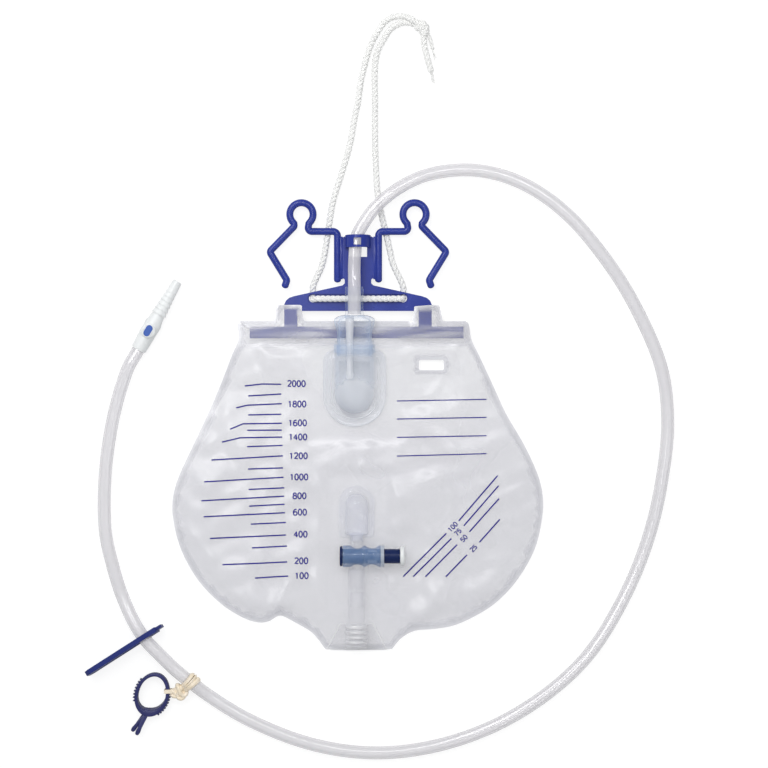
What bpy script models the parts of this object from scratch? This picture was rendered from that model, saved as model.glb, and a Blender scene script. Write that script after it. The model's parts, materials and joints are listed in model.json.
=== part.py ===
"""Closed urine drainage bag with its hanger, drip chamber, cross tap and drainage tube.

The bag lies on its back on a table: +X to the right, +Y towards the hanger, +Z up from the table.
The origin is on the back film's outer face, midway between the hooks' tops and the lower edge.
Sizes are in millimetres, and each mesh is turned to metres as it is made. A height on the bag is
given as its depth, the distance below the bag's top edge.
"""
import math

import bmesh
import bpy
from mathutils import Matrix, Vector
from mathutils.geometry import delaunay_2d_cdt

MM = 0.001
GAP = 0.3  # clearance between pieces that touch
WELD_REACH = 0.000003  # metres; closes points that a cut leaves doubled

# Bag
BAG_HEIGHT = 243.0
HOOK_RISE = 87.0  # hooks' tops above the bag's top edge
TOP_Y = (BAG_HEIGHT - HOOK_RISE) / 2
FILM = 0.35
SEAM = 4.0
CROWN = 2.4
CROWN_REACH = 24.0
LATTICE = 8.6
FILM_TOP = 2.2
LIFT_START = 62.0
LIFT_END = 16.0
SEAT_MARGIN = 7.0
HAND_SLOT = (44.5, 62.8, 30.7, 38.0)

# Half outlines of the bag as (distance from the centre line, depth)
LEFT_SIDE = [
    (85.6, 2.2), (87.6, 5.1), (87.4, 16.1), (92.0, 27.0), (100.7, 48.9), (110.2, 70.8),
    (120.5, 92.7), (130.7, 114.6), (135.5, 131.0), (135.3, 147.5), (129.6, 169.4),
    (117.5, 191.3), (101.5, 208.1), (86.0, 218.4), (74.0, 222.6), (65.5, 222.0), (56.9, 217.8),
    (46.0, 222.8), (35.0, 229.2), (29.2, 235.1), (24.1, 242.0),
]
RIGHT_SIDE = [
    (78.6, 2.2), (81.0, 5.1), (83.0, 16.1), (88.3, 27.0), (98.6, 48.9), (108.8, 70.8),
    (121.6, 92.7), (131.6, 114.6), (135.3, 131.0), (134.6, 147.5), (129.2, 169.4),
    (116.8, 191.3), (101.5, 207.8), (85.4, 218.3), (70.0, 225.0), (56.0, 227.5), (41.6, 228.9),
    (31.5, 234.4), (25.0, 242.0),
]

# Soft ridges of the front film as (x, depth, x, depth, height, width)
FOLDS = [
    (-78.0, 206.0, -60.0, 212.0, 2.6, 12.0), (-57.0, 212.0, -42.0, 172.0, 1.6, 6.5),
    (-124.0, 152.0, -104.0, 112.0, 1.4, 8.0), (-30.0, 46.0, -66.0, 30.0, 1.6, 6.5),
    (27.0, 58.0, 66.0, 96.0, 1.5, 8.0), (36.0, 228.0, 60.0, 198.0, 1.8, 7.0),
    (-22.0, 128.0, -52.0, 108.0, 1.4, 8.0), (20.0, 136.0, 52.0, 122.0, 1.3, 8.0),
    (-34.0, 224.0, -30.0, 190.0, 1.5, 6.5), (88.0, 204.0, 112.0, 178.0, 1.5, 9.0),
    (-96.0, 62.0, -84.0, 98.0, 1.2, 9.0), (66.0, 56.0, 96.0, 92.0, 1.2, 9.0),
]

# Hanger
CORD_D = 4.4
HANGER_Z = CORD_D + GAP
PLATE = 2.4
BAR_THICK = 2.0
BAR_LEFT, BAR_RIGHT = -79.0, 77.0
BAR_TOP, BAR_BOTTOM = 6.2, 14.8
LEG_INNER, LEG_OUTER = 44.2, 53.8
LEG_TOP = -9.8
TAB_MARGIN, TAB_INNER_MARGIN = 6.0, 3.3
STEP = 0.6  # how far the film clears the hanger's edges before it steps down
TAB_TOP = -9.5
BASE_BOTTOM = -5.1
BASE_SHOULDER = (46.7, -15.9)
NECK_HALF, NECK_DEPTH = 9.7, -24.3
CENTRE_TOP = -60.3
CHANNEL_HALF = 36.7
CHANNEL_DEPTH_ON_BAG = -14.0
CHANNEL_WIDTH = 6.8
CHANNEL_CUT = 1.2
HOLE_LENGTH, HOLE_WIDTH = 6.2, 7.0
BRIDGE_BOTTOM = -51.2
BRIDGE_RISE = 11.0
BRIDGE_WALL = 1.4
APERTURE_HALF = 6.6
APERTURE_BOTTOM = -44.6
WINDOW_HALF = 2.7
WINDOW_TOP, WINDOW_BOTTOM = -58.0, -52.9

# Hooks
HINGE_X = 10.95
HINGE_BOTTOM, HINGE_TOP = -28.2, -59.4
WEB = 0.5
WEB_TO_AXIS = 0.3
WEB_FROM_PLATE = 0.6
HOOK_WIDTH = 5.2
HOOK_HEIGHT = 3.4
STEM_X = 15.0
STEM_BOTTOM = -27.4
ARM_DEPTH = -63.2
ARM_END = 36.8
RING_X, RING_DEPTH = 41.3, -75.7
RING_RADIUS = 8.5
RING_MOUTH = 50.0  # degrees from the level where each side of the ring leaves its neck
NECK_LEG = (46.6, -66.9)
ELBOW = (64.6, -48.4)
HEEL = (51.9, -27.6)
FOOT = (53.6, -22.3)

# Drip chamber, drawn flat on its flange and then tilted with the lifted film
CHAMBER_X = -2.5
CHAMBER_DEPTH = 22.6
CHAMBER_SEAT = 6.3
CHAMBER_TILT = math.radians(3.8)
FLANGE_HALF, FLANGE_LENGTH, FLANGE_THICK = 23.0, 57.0, 1.2
DOME_HALF, DOME_ARC_Z, DOME_BACK = 14.4, 4.6, 1.3
DOME_END = -32.35
MOUTH_Y = 6.0
MOUTH_RIM, MOUTH_RIM_LENGTH = 0.6, 6.5
CHAMBER_WALL = 1.2
WINDOW_HALF_X, WINDOW_Y = 8.5, (-40.0, -14.0)
STOPPER_NECK_HALF = 13.3
STOPPER_DISC_HALF, STOPPER_DISC_Y, STOPPER_DISC_THICK = 14.85, 20.4, 3.8
SKIRT_WALL, SKIRT_END = 1.0, -21.0
COLLAR_Z, COLLAR_R, COLLAR_END = 8.9, 6.65, 45.6
NOZZLE_R, NOZZLE_BORE, NOZZLE_END = 4.2, 2.8, -2.0
VALVE_HALF, VALVE_Y, VALVE_THICK = 11.5, (-51.0, -9.0), 0.5

# Drain outlet, tap and spout
OUTLET_X = -1.0
SEAT_Z = 1.2  # underside of the front film where the outlet and the tap lie on it
OUTLET_BACK = SEAT_Z + FILM + GAP
TAP_DEPTH = 173.6
UPPER_NECK = 10.9  # from the tap's axis up to the end of its upper socket
SPIGOT_END = TAP_DEPTH - UPPER_NECK - GAP
PORT_HALF, PORT_LENGTH, PORT_THICK = 13.0, 38.0, 1.0
PORT_BOTTOM = SPIGOT_END - 1.8
PORT_TOP = PORT_BOTTOM - PORT_LENGTH
PORT_DOME_HALF, PORT_DOME_LENGTH = 8.1, 29.1
PORT_DOME_BOTTOM = PORT_BOTTOM - 3.0
PORT_DOME_TOP = PORT_DOME_BOTTOM - PORT_DOME_LENGTH
PORT_ARC_Z = 6.3
PORT_WALL = 1.1
SPIGOT_R, SPIGOT_BORE = 4.65, 3.3
TAP_R = 7.75
TAP_Z = OUTLET_BACK + TAP_R + 0.05
TAP_LEFT, TAP_RIGHT = -10.1, 20.1  # ends of the tap body, from the outlet's centre line
PISTON_R = 5.25
BORE_R = PISTON_R + GAP
UPPER_COLLAR_R, LOWER_COLLAR_R = 5.3, 5.7
LOWER_COLLAR_END = TAP_DEPTH + 9.8
STUB_R, STUB_TOP = SPIGOT_BORE - GAP, SPIGOT_END - 5.4
PASSAGE_R = 1.8
NIPPLE_R, NIPPLE_BORE, NIPPLE_END = 4.5, 3.1, LOWER_COLLAR_END + 14.1
SCALLOP_X, SCALLOP_R, SCALLOP_CUT = 11.3, 9.0, 1.6
DISC_R, LEFT_DISC, RIGHT_DISC = 7.3, 1.8, 3.2
DISC_HUB_R, DISC_HUB = 2.6, 2.4
PISTON_STROKE = 11.5
WAIST_R, WAIST_HALF = 2.9, 3.4
SEAL_R, SEAL_GROOVE = 0.65, 1.9
DRAIN_TUBE_LENGTH = 26.2
TUBE_END_R, TUBE_END_BORE = 6.05, NIPPLE_R + GAP
TUBE_END = LOWER_COLLAR_END + GAP + DRAIN_TUBE_LENGTH
SPOUT_R, SPOUT_BORE, SPOUT_LENGTH = 5.85, 3.6, 28.5
SPOUT_END = TUBE_END + SPOUT_LENGTH
SHANK_R, SHANK_TOP = TUBE_END_BORE - GAP, TUBE_END - 9.9
RIB_R, RIB_PITCH, RIBS, RIB_LENGTH = 6.9, 3.6, 4, 1.5
RIB_FIRST = SPOUT_END - 13.2
POCKET_TOP, POCKET_BOTTOM = SPOUT_END - 14.8, SPOUT_END + 4.0
POCKET_TOP_HALF, POCKET_BOTTOM_HALF = 12.4, 22.5
POCKET_SLOPE_START = SPOUT_END + GAP

# Drainage tube
TUBE_D = 9.3
TUBE_R = TUBE_D / 2
TUBE_SPACING = 24.0
TUBE_LIFT = 8.3  # axis height where the tube hangs in the slide clamp
LAID = TUBE_R + 0.05
TUBE_START_Y = 26.0  # inside the collar, in the chamber's own frame

# Connector
CONNECTOR_FOOT = Vector((-160.3, 54.9, 6.35))
CONNECTOR_LEAN = 30.0
CONNECTOR_BODY = [(0.0, 5.5), (6.0, 5.8), (22.0, 6.25), (25.5, 5.3), (28.6, 4.1)]
BARB_FIRST, BARB_PITCH, BARBS = 29.6, 3.6, 7
BARB_R, BARB_TIP_R, BARB_LIP = 5.6, 3.7, 0.45
CONNECTOR_LENGTH = 57.5
CONNECTOR_BORE = 2.3
CONNECTOR_SOCKET = TUBE_R + GAP
SOCKET_DEPTH = 10.0
BOSS_S, BOSS_R, BOSS_TOP = 15.7, 5.4, 7.2
SEPTUM_HALF, SEPTUM_LENGTH, SEPTUM_DEPTH, SEPTUM_PROUD = 2.9, 8.6, 1.0, 0.25

# Slide clamp
CLAMP_PLACE = Vector((-155.5, 78.0 - 232.5, TUBE_LIFT))
CLAMP_ANGLE = 32.6
CLAMP_LEAN = 7.0
CLAMP_LEFT, CLAMP_RIGHT = -49.0, 11.5
CLAMP_TIP = 4.6
CLAMP_WIDTH = 16.0
CLAMP_THICK = 3.6
KEYHOLE_R = TUBE_R + 0.65
SLOT_HALF, SLOT_END_HALF, SLOT_LENGTH = 2.6, 1.3, 36.0
CLAMP_TRAVEL = 26.0

# Sheet clip and its elastic band
BAND = 0.8  # thickness of the band's rubber
CLIP_PLACE = Vector((-150.4, 78.0 - 275.0, BAND + GAP + 0.1))
CLIP_TURN = -17.0
CLIP_HEIGHT = 6.6
CLIP_OUTER = (12.4, 16.2)
CLIP_INNER = (9.7, 12.3)
CLIP_HOLE_SHIFT = 1.2
TEETH, TOOTH_HALF, TOOTH_PROUD = 7, 0.75, 1.1
PRONG_LENGTH, PRONG_WIDTH, PRONG_SPREAD = 17.5, 3.0, 8.0
BAND_PLACE = Vector((-121.0, 78.0 - 264.5, 7.7))
BAND_ON_TUBE, BAND_WIDTH = 7.0, 3.0
LIMB_PLACE = Vector((11.56, 2.57, 0.0))  # the clip's limb inside the band, from the clip's middle
LIMB_INNER, LIMB_OUTER = 1.8, 2.8
# The band's knot as (distance from the tube's axis, along the tube, upwards) and its radii
KNOT_OF_BAND = [((11.4, 2.2, -2.2), (5.4, 5.4, 4.2)), ((8.5, 0.8, 0.7), (3.3, 3.3, 3.0))]


def at(x, depth, z=0.0):
    """A point at a depth below the bag's top edge, in the part's frame."""
    return Vector((x, TOP_Y - depth, z))


def smoothstep(t):
    """Ease from 0 to 1."""
    t = min(max(t, 0.0), 1.0)
    return t * t * (3 - 2 * t)


# Making objects


def finish(name, colour, roughness, alpha=1.0):
    """A plain Principled material; no piece of this product is metal."""
    material = bpy.data.materials.new(name)
    material.use_nodes = True
    shader = material.node_tree.nodes["Principled BSDF"]
    shader.inputs["Base Color"].default_value = (*colour, 1.0)
    shader.inputs["Roughness"].default_value = roughness
    shader.inputs["Metallic"].default_value = 0.0
    shader.inputs["Alpha"].default_value = alpha
    return material


def add_mesh(name, shape, material=None, frame=None):
    """A mesh object from (vertices in mm, faces), with its faces turned outwards."""
    vertices, faces = shape
    mesh = bpy.data.meshes.new(name)
    mesh.from_pydata([Vector(v) * MM for v in vertices], [], faces)
    bm = bmesh.new()
    bm.from_mesh(mesh)
    bmesh.ops.remove_doubles(bm, verts=bm.verts, dist=1e-7)
    bmesh.ops.connect_verts_nonplanar(bm, angle_limit=0.0005, faces=bm.faces)
    bmesh.ops.recalc_face_normals(bm, faces=bm.faces)
    bm.to_mesh(mesh)
    bm.free()
    if material:
        mesh.materials.append(material)
    mesh.shade_smooth()
    mesh.set_sharp_from_angle(angle=math.radians(35))
    obj = bpy.data.objects.new(name, mesh)
    bpy.context.scene.collection.objects.link(obj)
    obj.parent = frame
    return obj


def helper(name, shape, frame=None):
    """A guide that only shapes another piece."""
    obj = add_mesh(name, shape, frame=frame)
    obj.hide_render = True
    obj.display_type = "WIRE"
    return obj


def combine(obj, other, operation):
    """Cut a guide out of a piece, or join it on."""
    modifier = obj.modifiers.new(operation.title() + "_" + other.name, "BOOLEAN")
    modifier.operation = operation
    modifier.solver = "EXACT"
    modifier.object = other
    weld = obj.modifiers.new("Weld_" + other.name, "WELD")
    weld.merge_threshold = WELD_REACH


def cut(obj, name, shape):
    """Cut a shape out of a piece."""
    combine(obj, helper(name, shape, obj.parent), "DIFFERENCE")


def join(obj, name, shape):
    """Join a shape onto a piece."""
    combine(obj, helper(name, shape, obj.parent), "UNION")


def empty(name, place, rotation):
    """A frame that pieces are parented to."""
    frame = bpy.data.objects.new(name, None)
    frame.matrix_world = Matrix.Translation(place * MM) @ rotation.to_4x4()
    bpy.context.scene.collection.objects.link(frame)
    return frame


# Shapes, each as (vertices, faces)


def moved(shape, matrix):
    """A shape put through a matrix."""
    vertices, faces = shape
    return [matrix @ Vector(v) for v in vertices], faces


def prism(outline, low, high, axis="Z"):
    """An outline run from low to high along an axis; the outline is (x, y), or (x, z) along Y."""
    if axis == "Z":
        ends = [[(a, b, h) for a, b in outline] for h in (low, high)]
    else:
        ends = [[(a, h, b) for a, b in outline] for h in (low, high)]
    return loft(ends)


def loft(rings):
    """A closed solid through rings of equally many points, with flat ends."""
    count = len(rings[0])
    vertices = [point for ring in rings for point in ring]
    faces = [list(range(count))[::-1]]
    for ring in range(len(rings) - 1):
        base = ring * count
        for i in range(count):
            j = (i + 1) % count
            faces.append([base + i, base + j, base + count + j, base + count + i])
    faces.append([(len(rings) - 1) * count + i for i in range(count)])
    return vertices, faces


def lathe(profile, segments=28, phase=0.0):
    """A solid turned about Z from a closed loop of (height, radius), or one that ends at radius 0."""
    vertices, faces, rings = [], [], []
    for height, radius in profile:
        if radius == 0:
            rings.append([len(vertices)] * segments)
            vertices.append((0, 0, height))
            continue
        rings.append(list(range(len(vertices), len(vertices) + segments)))
        for k in range(segments):
            turn = 2 * math.pi * (k + phase) / segments
            vertices.append((radius * math.cos(turn), radius * math.sin(turn), height))
    hollow = profile[0][1] > 0
    for a in range(len(rings) if hollow else len(rings) - 1):
        first, second = rings[a], rings[(a + 1) % len(rings)]
        for k in range(segments):
            n = (k + 1) % segments
            corners = []
            for v in (first[k], first[n], second[n], second[k]):
                if v not in corners:
                    corners.append(v)
            faces.append(corners)
    return vertices, faces


def rod(radius, low, high, segments=28, phase=0.0):
    """A solid round bar about Z."""
    return lathe([(low, 0), (low, radius), (high, radius), (high, 0)], segments, phase)


def pipe(radius, bore, low, high, segments=28):
    """A round tube about Z."""
    return lathe([(low, bore), (low, radius), (high, radius), (high, bore)], segments)


def block(x0, x1, y0, y1, z0, z1):
    """A plain box, used as a guide."""
    return prism([(x0, y0), (x1, y0), (x1, y1), (x0, y1)], z0, z1)


def ball(centre, radii, turns=14, steps=8):
    """An ellipsoid."""
    profile = []
    for k in range(steps + 1):
        a = math.pi * k / steps
        profile.append((-math.cos(a), 0 if k in (0, steps) else math.sin(a)))
    return moved(lathe(profile, turns), Matrix.Translation(centre) @ Matrix.Diagonal((*radii, 1)))


def ring_of(centre, right, up, reach, height, thick, turns=20, sides=6):
    """A closed oval ring of round section round a centre, in the plane of two directions."""
    vertices, faces = [], []
    out = right.cross(up)
    for k in range(turns):
        a = 2 * math.pi * k / turns
        middle = centre + right * reach * math.cos(a) + up * height * math.sin(a)
        across = (right * height * math.cos(a) + up * reach * math.sin(a)).normalized()
        for s in range(sides):
            b = 2 * math.pi * s / sides
            vertices.append(middle + across * thick * math.cos(b) + out * thick * math.sin(b))
    for k in range(turns):
        for s in range(sides):
            a, b = k * sides, (k + 1) % turns * sides
            t = (s + 1) % sides
            faces.append([a + s, a + t, b + t, b + s])
    return vertices, faces


def arc(cx, cy, radius, start, end, steps, squash=1.0):
    """Points along an arc, with its angles in degrees."""
    points = []
    for k in range(steps + 1):
        a = math.radians(start + (end - start) * k / steps)
        points.append((cx + radius * math.cos(a), cy + radius * squash * math.sin(a)))
    return points


def slot_outline(half_length, half_width, cx=0.0, cy=0.0, steps=8):
    """A stadium shape that lies along x."""
    reach = half_length - half_width
    return (
        arc(cx + reach, cy, half_width, -90, 90, steps)
        + arc(cx - reach, cy, half_width, 90, 270, steps)
    )


def d_outline(half, arc_z, back, steps=14):
    """A half round over a flat back, as (x, z)."""
    return [(half, back)] + arc(0, arc_z, half, 0, 180, steps) + [(-half, back)]


def rounded_path(corners, radii, steps=3):
    """A line through corners with each inner corner rounded."""
    points = [Vector(corners[0])]
    for before, corner, after, radius in zip(corners, corners[1:], corners[2:], radii):
        corner = Vector(corner)
        a, b = (Vector(before) - corner).normalized(), (Vector(after) - corner).normalized()
        half = a.angle(b) / 2
        back = radius / math.tan(half)
        centre = corner + (a + b).normalized() * radius / math.sin(half)
        start, end = corner + a * back - centre, corner + b * back - centre
        for k in range(steps + 1):
            points.append(centre + start.lerp(end, k / steps).normalized() * radius)
    points.append(Vector(corners[-1]))
    return points


def smooth_route(points, spacing, floor=0.0):
    """Evenly spaced points on one smooth curve through a route's own points, above a floor."""
    points = [Vector(p) for p in points]
    ends = [points[0] * 2 - points[1]] + points + [points[-1] * 2 - points[-2]]
    fine = []
    for p0, p1, p2, p3 in zip(ends, ends[1:], ends[2:], ends[3:]):
        t1 = (p1 - p0).length ** 0.5
        t2 = t1 + (p2 - p1).length ** 0.5
        t3 = t2 + (p3 - p2).length ** 0.5
        for k in range(12):
            t = t1 + (t2 - t1) * k / 12
            a1 = p0.lerp(p1, t / t1)
            a2 = p1.lerp(p2, (t - t1) / (t2 - t1))
            a3 = p2.lerp(p3, (t - t2) / (t3 - t2))
            b1, b2 = a1.lerp(a2, t / t2), a2.lerp(a3, (t - t1) / (t3 - t1))
            fine.append(b1.lerp(b2, (t - t1) / (t2 - t1)))
    fine.append(points[-1])
    lengths = [0.0]
    for a, b in zip(fine, fine[1:]):
        lengths.append(lengths[-1] + (b - a).length)
    count = max(2, round(lengths[-1] / spacing))
    route, at_piece = [], 0
    for k in range(count + 1):
        target = lengths[-1] * k / count
        while at_piece < len(fine) - 2 and lengths[at_piece + 1] < target:
            at_piece += 1
        span = lengths[at_piece + 1] - lengths[at_piece]
        spot = fine[at_piece].lerp(fine[at_piece + 1], (target - lengths[at_piece]) / span)
        route.append(Vector((spot.x, spot.y, max(spot.z, floor))))
    return route


def thinned(route, wide, fine, is_fine):
    """A route with wide steps, and fine ones where is_fine says so."""
    points, last = [], None
    for k, point in enumerate(route):
        step = fine if is_fine(point) else wide
        if last is None or (point - last).length >= step - 0.05 or k == len(route) - 1:
            points.append(point)
            last = point
    return points


def cord(name, points, radius, resolution, material):
    """A free cord or tube as a bevelled curve."""
    curve = bpy.data.curves.new(name, "CURVE")
    curve.dimensions = "3D"
    curve.bevel_depth = radius * MM
    curve.bevel_resolution = resolution
    curve.use_fill_caps = True
    spline = curve.splines.new("POLY")
    spline.points.add(len(points) - 1)
    for point, place in zip(spline.points, points):
        point.co = (*(Vector(place) * MM), 1.0)
    curve.materials.append(material)
    obj = bpy.data.objects.new(name, curve)
    bpy.context.scene.collection.objects.link(obj)
    return obj


# Bag films


def spline_2d(points, steps):
    """A smooth line through points, without its last point."""
    points = [Vector(p) for p in points]
    ends = [points[0] * 2 - points[1]] + points + [points[-1] * 2 - points[-2]]
    line = []
    for p0, p1, p2, p3 in zip(ends, ends[1:], ends[2:], ends[3:]):
        for k in range(steps):
            t = k / steps
            line.append(
                0.5 * (2 * p1 + (p2 - p0) * t + (2 * p0 - 5 * p1 + 4 * p2 - p3) * t * t
                       + (3 * p1 - p0 - 3 * p2 + p3) * t ** 3)
            )
    return line


def tab_edge(side):
    """The film's edge up and over one hanger leg, outer foot first, as (distance, depth)."""
    inner, outer = LEG_INNER - TAB_INNER_MARGIN, LEG_OUTER + TAB_MARGIN
    slant = 0.8 if side > 0 else 0.0
    return [
        (outer + 2, FILM_TOP), (outer, TAB_TOP + 1.5), (outer - 1.2, TAB_TOP),
        (LEG_OUTER + 3.0, TAB_TOP), (LEG_OUTER + STEP, TAB_TOP),
        (LEG_INNER - STEP, TAB_TOP + slant), (inner, TAB_TOP + slant + 0.5),
        (inner, BASE_BOTTOM + STEP), (inner - 1.5, FILM_TOP),
    ]


def bag_outline(steps):
    """The films' outline as (x, depth), clockwise from the top left corner."""
    top = [(-x, depth) for x, depth in tab_edge(-1)]
    between = top[-1][0], tab_edge(1)[-1][0]
    top += [(between[0] + (between[1] - between[0]) * k / 9, FILM_TOP) for k in range(1, 9)]
    top += tab_edge(1)[::-1]
    left = [(-x, depth) for x, depth in spline_2d(LEFT_SIDE, steps) + [Vector(LEFT_SIDE[-1])]]
    right = [(x, depth) for x, depth in spline_2d(RIGHT_SIDE, steps) + [Vector(RIGHT_SIDE[-1])]]
    bottom = [(18.0, 242.9), (6.0, 243.0), (-8.0, 243.2), (-18.0, 242.9)]
    return top + right + bottom + left[::-1]


OUTLINE = bag_outline(3)


def distance_to_line(x, depth, line):
    """The distance from a point to a closed line."""
    best = 1e9
    for (ax, ay), (bx, by) in zip(line, line[1:] + line[:1]):
        best = min(best, distance_to_span(x, depth, ax, ay, bx, by))
    return best


def distance_to_span(x, y, ax, ay, bx, by):
    """The distance from a point to a straight span."""
    dx, dy = bx - ax, by - ay
    t = ((x - ax) * dx + (y - ay) * dy) / max(dx * dx + dy * dy, 1e-12)
    t = min(max(t, 0.0), 1.0)
    return math.hypot(x - ax - t * dx, y - ay - t * dy)


def inside(x, y, line):
    """Whether a point lies inside a closed line."""
    odd = False
    for (ax, ay), (bx, by) in zip(line, line[1:] + line[:1]):
        if (ay > y) != (by > y) and x < (bx - ax) * (y - ay) / (by - ay) + ax:
            odd = not odd
    return odd


def outside_box(x, depth, box):
    """How far a point lies outside a box of (x0, x1, depth0, depth1)."""
    dx = max(box[0] - x, x - box[1], 0.0)
    dy = max(box[2] - depth, depth - box[3], 0.0)
    return math.hypot(dx, dy)


def film_lift(depth):
    """How high the back film's outer face lies: the hem hangs on the lifted hanger."""
    hem = HANGER_Z - GAP - FILM
    return hem * smoothstep((LIFT_START - depth) / (LIFT_START - LIFT_END))


def chamber_plane(depth):
    """Height of the chamber flange's back face."""
    return CHAMBER_SEAT + (CHAMBER_DEPTH - depth) * math.tan(CHAMBER_TILT)


def front_height(x, depth):
    """Height of the front film's underside."""
    base = film_lift(depth) + FILM + GAP
    rim = distance_to_line(x, depth, OUTLINE)
    rim = min(rim, outside_box(x, depth, HAND_SLOT))
    puff = 1 - math.exp(-max(rim - SEAM, 0.0) / CROWN_REACH)
    height = base + CROWN * puff * smoothstep((depth - BAR_BOTTOM) / 30)
    for ax, ay, bx, by, rise, width in FOLDS:
        away = distance_to_span(x, depth, ax, ay, bx, by) / width
        height += rise * math.exp(-away * away) * smoothstep(rim / 12)
    chamber = (
        CHAMBER_X - FLANGE_HALF - SEAT_MARGIN, CHAMBER_X + FLANGE_HALF + SEAT_MARGIN,
        CHAMBER_DEPTH - SEAT_MARGIN, CHAMBER_DEPTH + FLANGE_LENGTH + SEAT_MARGIN,
    )
    port = (
        OUTLET_X - PORT_HALF - SEAT_MARGIN, OUTLET_X + PORT_HALF + SEAT_MARGIN,
        PORT_TOP - SEAT_MARGIN, BAG_HEIGHT,
    )
    seats = [
        (chamber, chamber_plane(depth) - GAP - FILM),
        (port, SEAT_Z),
        ((OUTLET_X - 17, 42.0, TAP_DEPTH - 13, TAP_DEPTH + 13), SEAT_Z),
        ((OUTLET_X - 29, OUTLET_X + 29, POCKET_TOP - 7, BAG_HEIGHT), SEAT_Z),
    ]
    for box, seat in seats:
        weight = 1 - smoothstep(outside_box(x, depth, box) / 9)
        height += (seat - height) * weight
    height = max(height, base)
    bar = (BAR_LEFT, BAR_RIGHT, BAR_TOP, BAR_BOTTOM)
    raised = [(bar, HANGER_Z + PLATE + GAP)]
    for side in (-1, 1):
        leg = sorted((side * LEG_INNER, side * LEG_OUTER))
        base_end = sorted((side * (LEG_INNER - 9), side * LEG_OUTER))
        raised.append(((*leg, LEG_TOP, BAR_TOP), HANGER_Z + PLATE + GAP))
        raised.append(((*base_end, LEG_TOP, BASE_BOTTOM), HANGER_Z + PLATE + GAP))
    for box, top in raised:
        weight = min(max(1 - (outside_box(x, depth, box) - 0.65) / 2.3, 0.0), 1.0)
        height = max(height, base + (top - base) * weight)
    return height


def hem_points():
    """Extra points that let the front film step up over the bar and the legs."""
    legs = [
        side * x for side in (-1, 1)
        for x in (LEG_INNER - 3.0, LEG_INNER - STEP, LEG_OUTER + STEP, LEG_OUTER + 3.0)
    ]
    columns = list(legs)
    count = 24
    for k in range(count + 1):
        x = BAR_LEFT - STEP + (BAR_RIGHT - BAR_LEFT + 2 * STEP) * k / count
        if min(abs(x - leg) for leg in legs) > 2.2:
            columns.append(x)
    points = []
    for x in columns:
        points += [(x, BAR_TOP - STEP), (x, BAR_BOTTOM + STEP), (x, BAR_BOTTOM + 3.2)]
    middle = (BAR_TOP + BAR_BOTTOM) / 2
    for x in (BAR_LEFT - 3.0, BAR_RIGHT + 3.0):
        points += [(x, BAR_TOP - STEP), (x, middle), (x, BAR_BOTTOM + STEP)]
    points += [(BAR_LEFT - STEP, middle), (BAR_RIGHT + STEP, middle)]
    for x in legs:
        points += [(x, depth) for depth in (BASE_BOTTOM + STEP, -1.2, FILM_TOP)]
    return points


def film(name, height, spacing, extra, holes, material):
    """A thin sheet that fills the outline at the given height, with its holes left open."""
    loops = [OUTLINE] + holes
    vertices, edges = [], []
    for loop in loops:
        first = len(vertices)
        vertices += [Vector(p) for p in loop]
        edges += [(first + k, first + (k + 1) % len(loop)) for k in range(len(loop))]
    for point in extra:
        vertices.append(Vector(point))
    row = 0
    depth = FILM_TOP + 2
    while depth < BAG_HEIGHT:
        x = -150.0 + (row % 2) * spacing / 2
        while x < 150.0:
            near = min(math.hypot(x - a, depth - b) for a, b in extra) if extra else spacing
            edge = min(distance_to_line(x, depth, loop) for loop in loops)
            if inside(x, depth, OUTLINE) and edge > spacing * 0.42 and near > spacing * 0.45:
                vertices.append(Vector((x, depth)))
            x += spacing
        depth += spacing * 0.87
        row += 1
    found = delaunay_2d_cdt(vertices, edges, [], 0, 1e-5)
    flat = [tuple(v) for v in found[0]]
    faces = []
    for face in found[2]:
        x = sum(flat[i][0] for i in face) / len(face)
        y = sum(flat[i][1] for i in face) / len(face)
        if inside(x, y, OUTLINE) and not any(inside(x, y, hole) for hole in holes):
            faces.append(list(face))
    used = sorted({i for face in faces for i in face})
    number = {old: new for new, old in enumerate(used)}
    low = [at(flat[i][0], flat[i][1], height(*flat[i])) for i in used]
    high = [v + Vector((0, 0, FILM)) for v in low]
    faces = [[number[i] for i in face] for face in faces]
    count = len(low)
    seen = {}
    for face in faces:
        for a, b in zip(face, face[1:] + face[:1]):
            seen.setdefault((min(a, b), max(a, b)), []).append((a, b))
    solid = [face[::-1] for face in faces] + [[i + count for i in face] for face in faces]
    for uses in seen.values():
        if len(uses) == 1:
            a, b = uses[0]
            solid.append([a, b, b + count, a + count])
    return add_mesh(name, (low + high, solid), material)


def chamber_window(margin=0.0):
    """Outline of the opening behind the drip chamber, as (x, y) in the chamber's own frame."""
    low, high = WINDOW_Y
    half = (high - low) / 2 + margin
    line = slot_outline(half, WINDOW_HALF_X + margin, (low + high) / 2, 0, 5)
    return [(across, along) for along, across in line]


def outlet_window():
    """Outline of the opening behind the drain outlet, as (x, depth)."""
    half = (PORT_DOME_BOTTOM - PORT_DOME_TOP) / 2 - 3
    middle = (PORT_DOME_BOTTOM + PORT_DOME_TOP) / 2
    return [(OUTLET_X + y, x) for x, y in slot_outline(half, PORT_DOME_HALF - 3, middle, 0, 4)]


def make_films(clear):
    """The back and the front film."""
    x0, x1, d0, d1 = HAND_SLOT
    half = ((x1 - x0) / 2, (d1 - d0) / 2)
    hand = [
        (x + (x0 + x1) / 2, y + (d0 + d1) / 2)
        for x, y in [(-half[0], -half[1]), (0, -half[1]), (half[0], -half[1]),
                     (half[0], half[1]), (0, half[1]), (-half[0], half[1])]
    ]
    window = [
        (CHAMBER_X + x, CHAMBER_DEPTH - y * math.cos(CHAMBER_TILT))
        for x, y in chamber_window(0.5)
    ]
    film("bag_back_film", lambda x, depth: film_lift(depth), 17.0, [], [hand], clear)
    film(
        "bag_front_film", front_height, LATTICE, hem_points(),
        [hand, window, outlet_window()], clear,
    )


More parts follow.
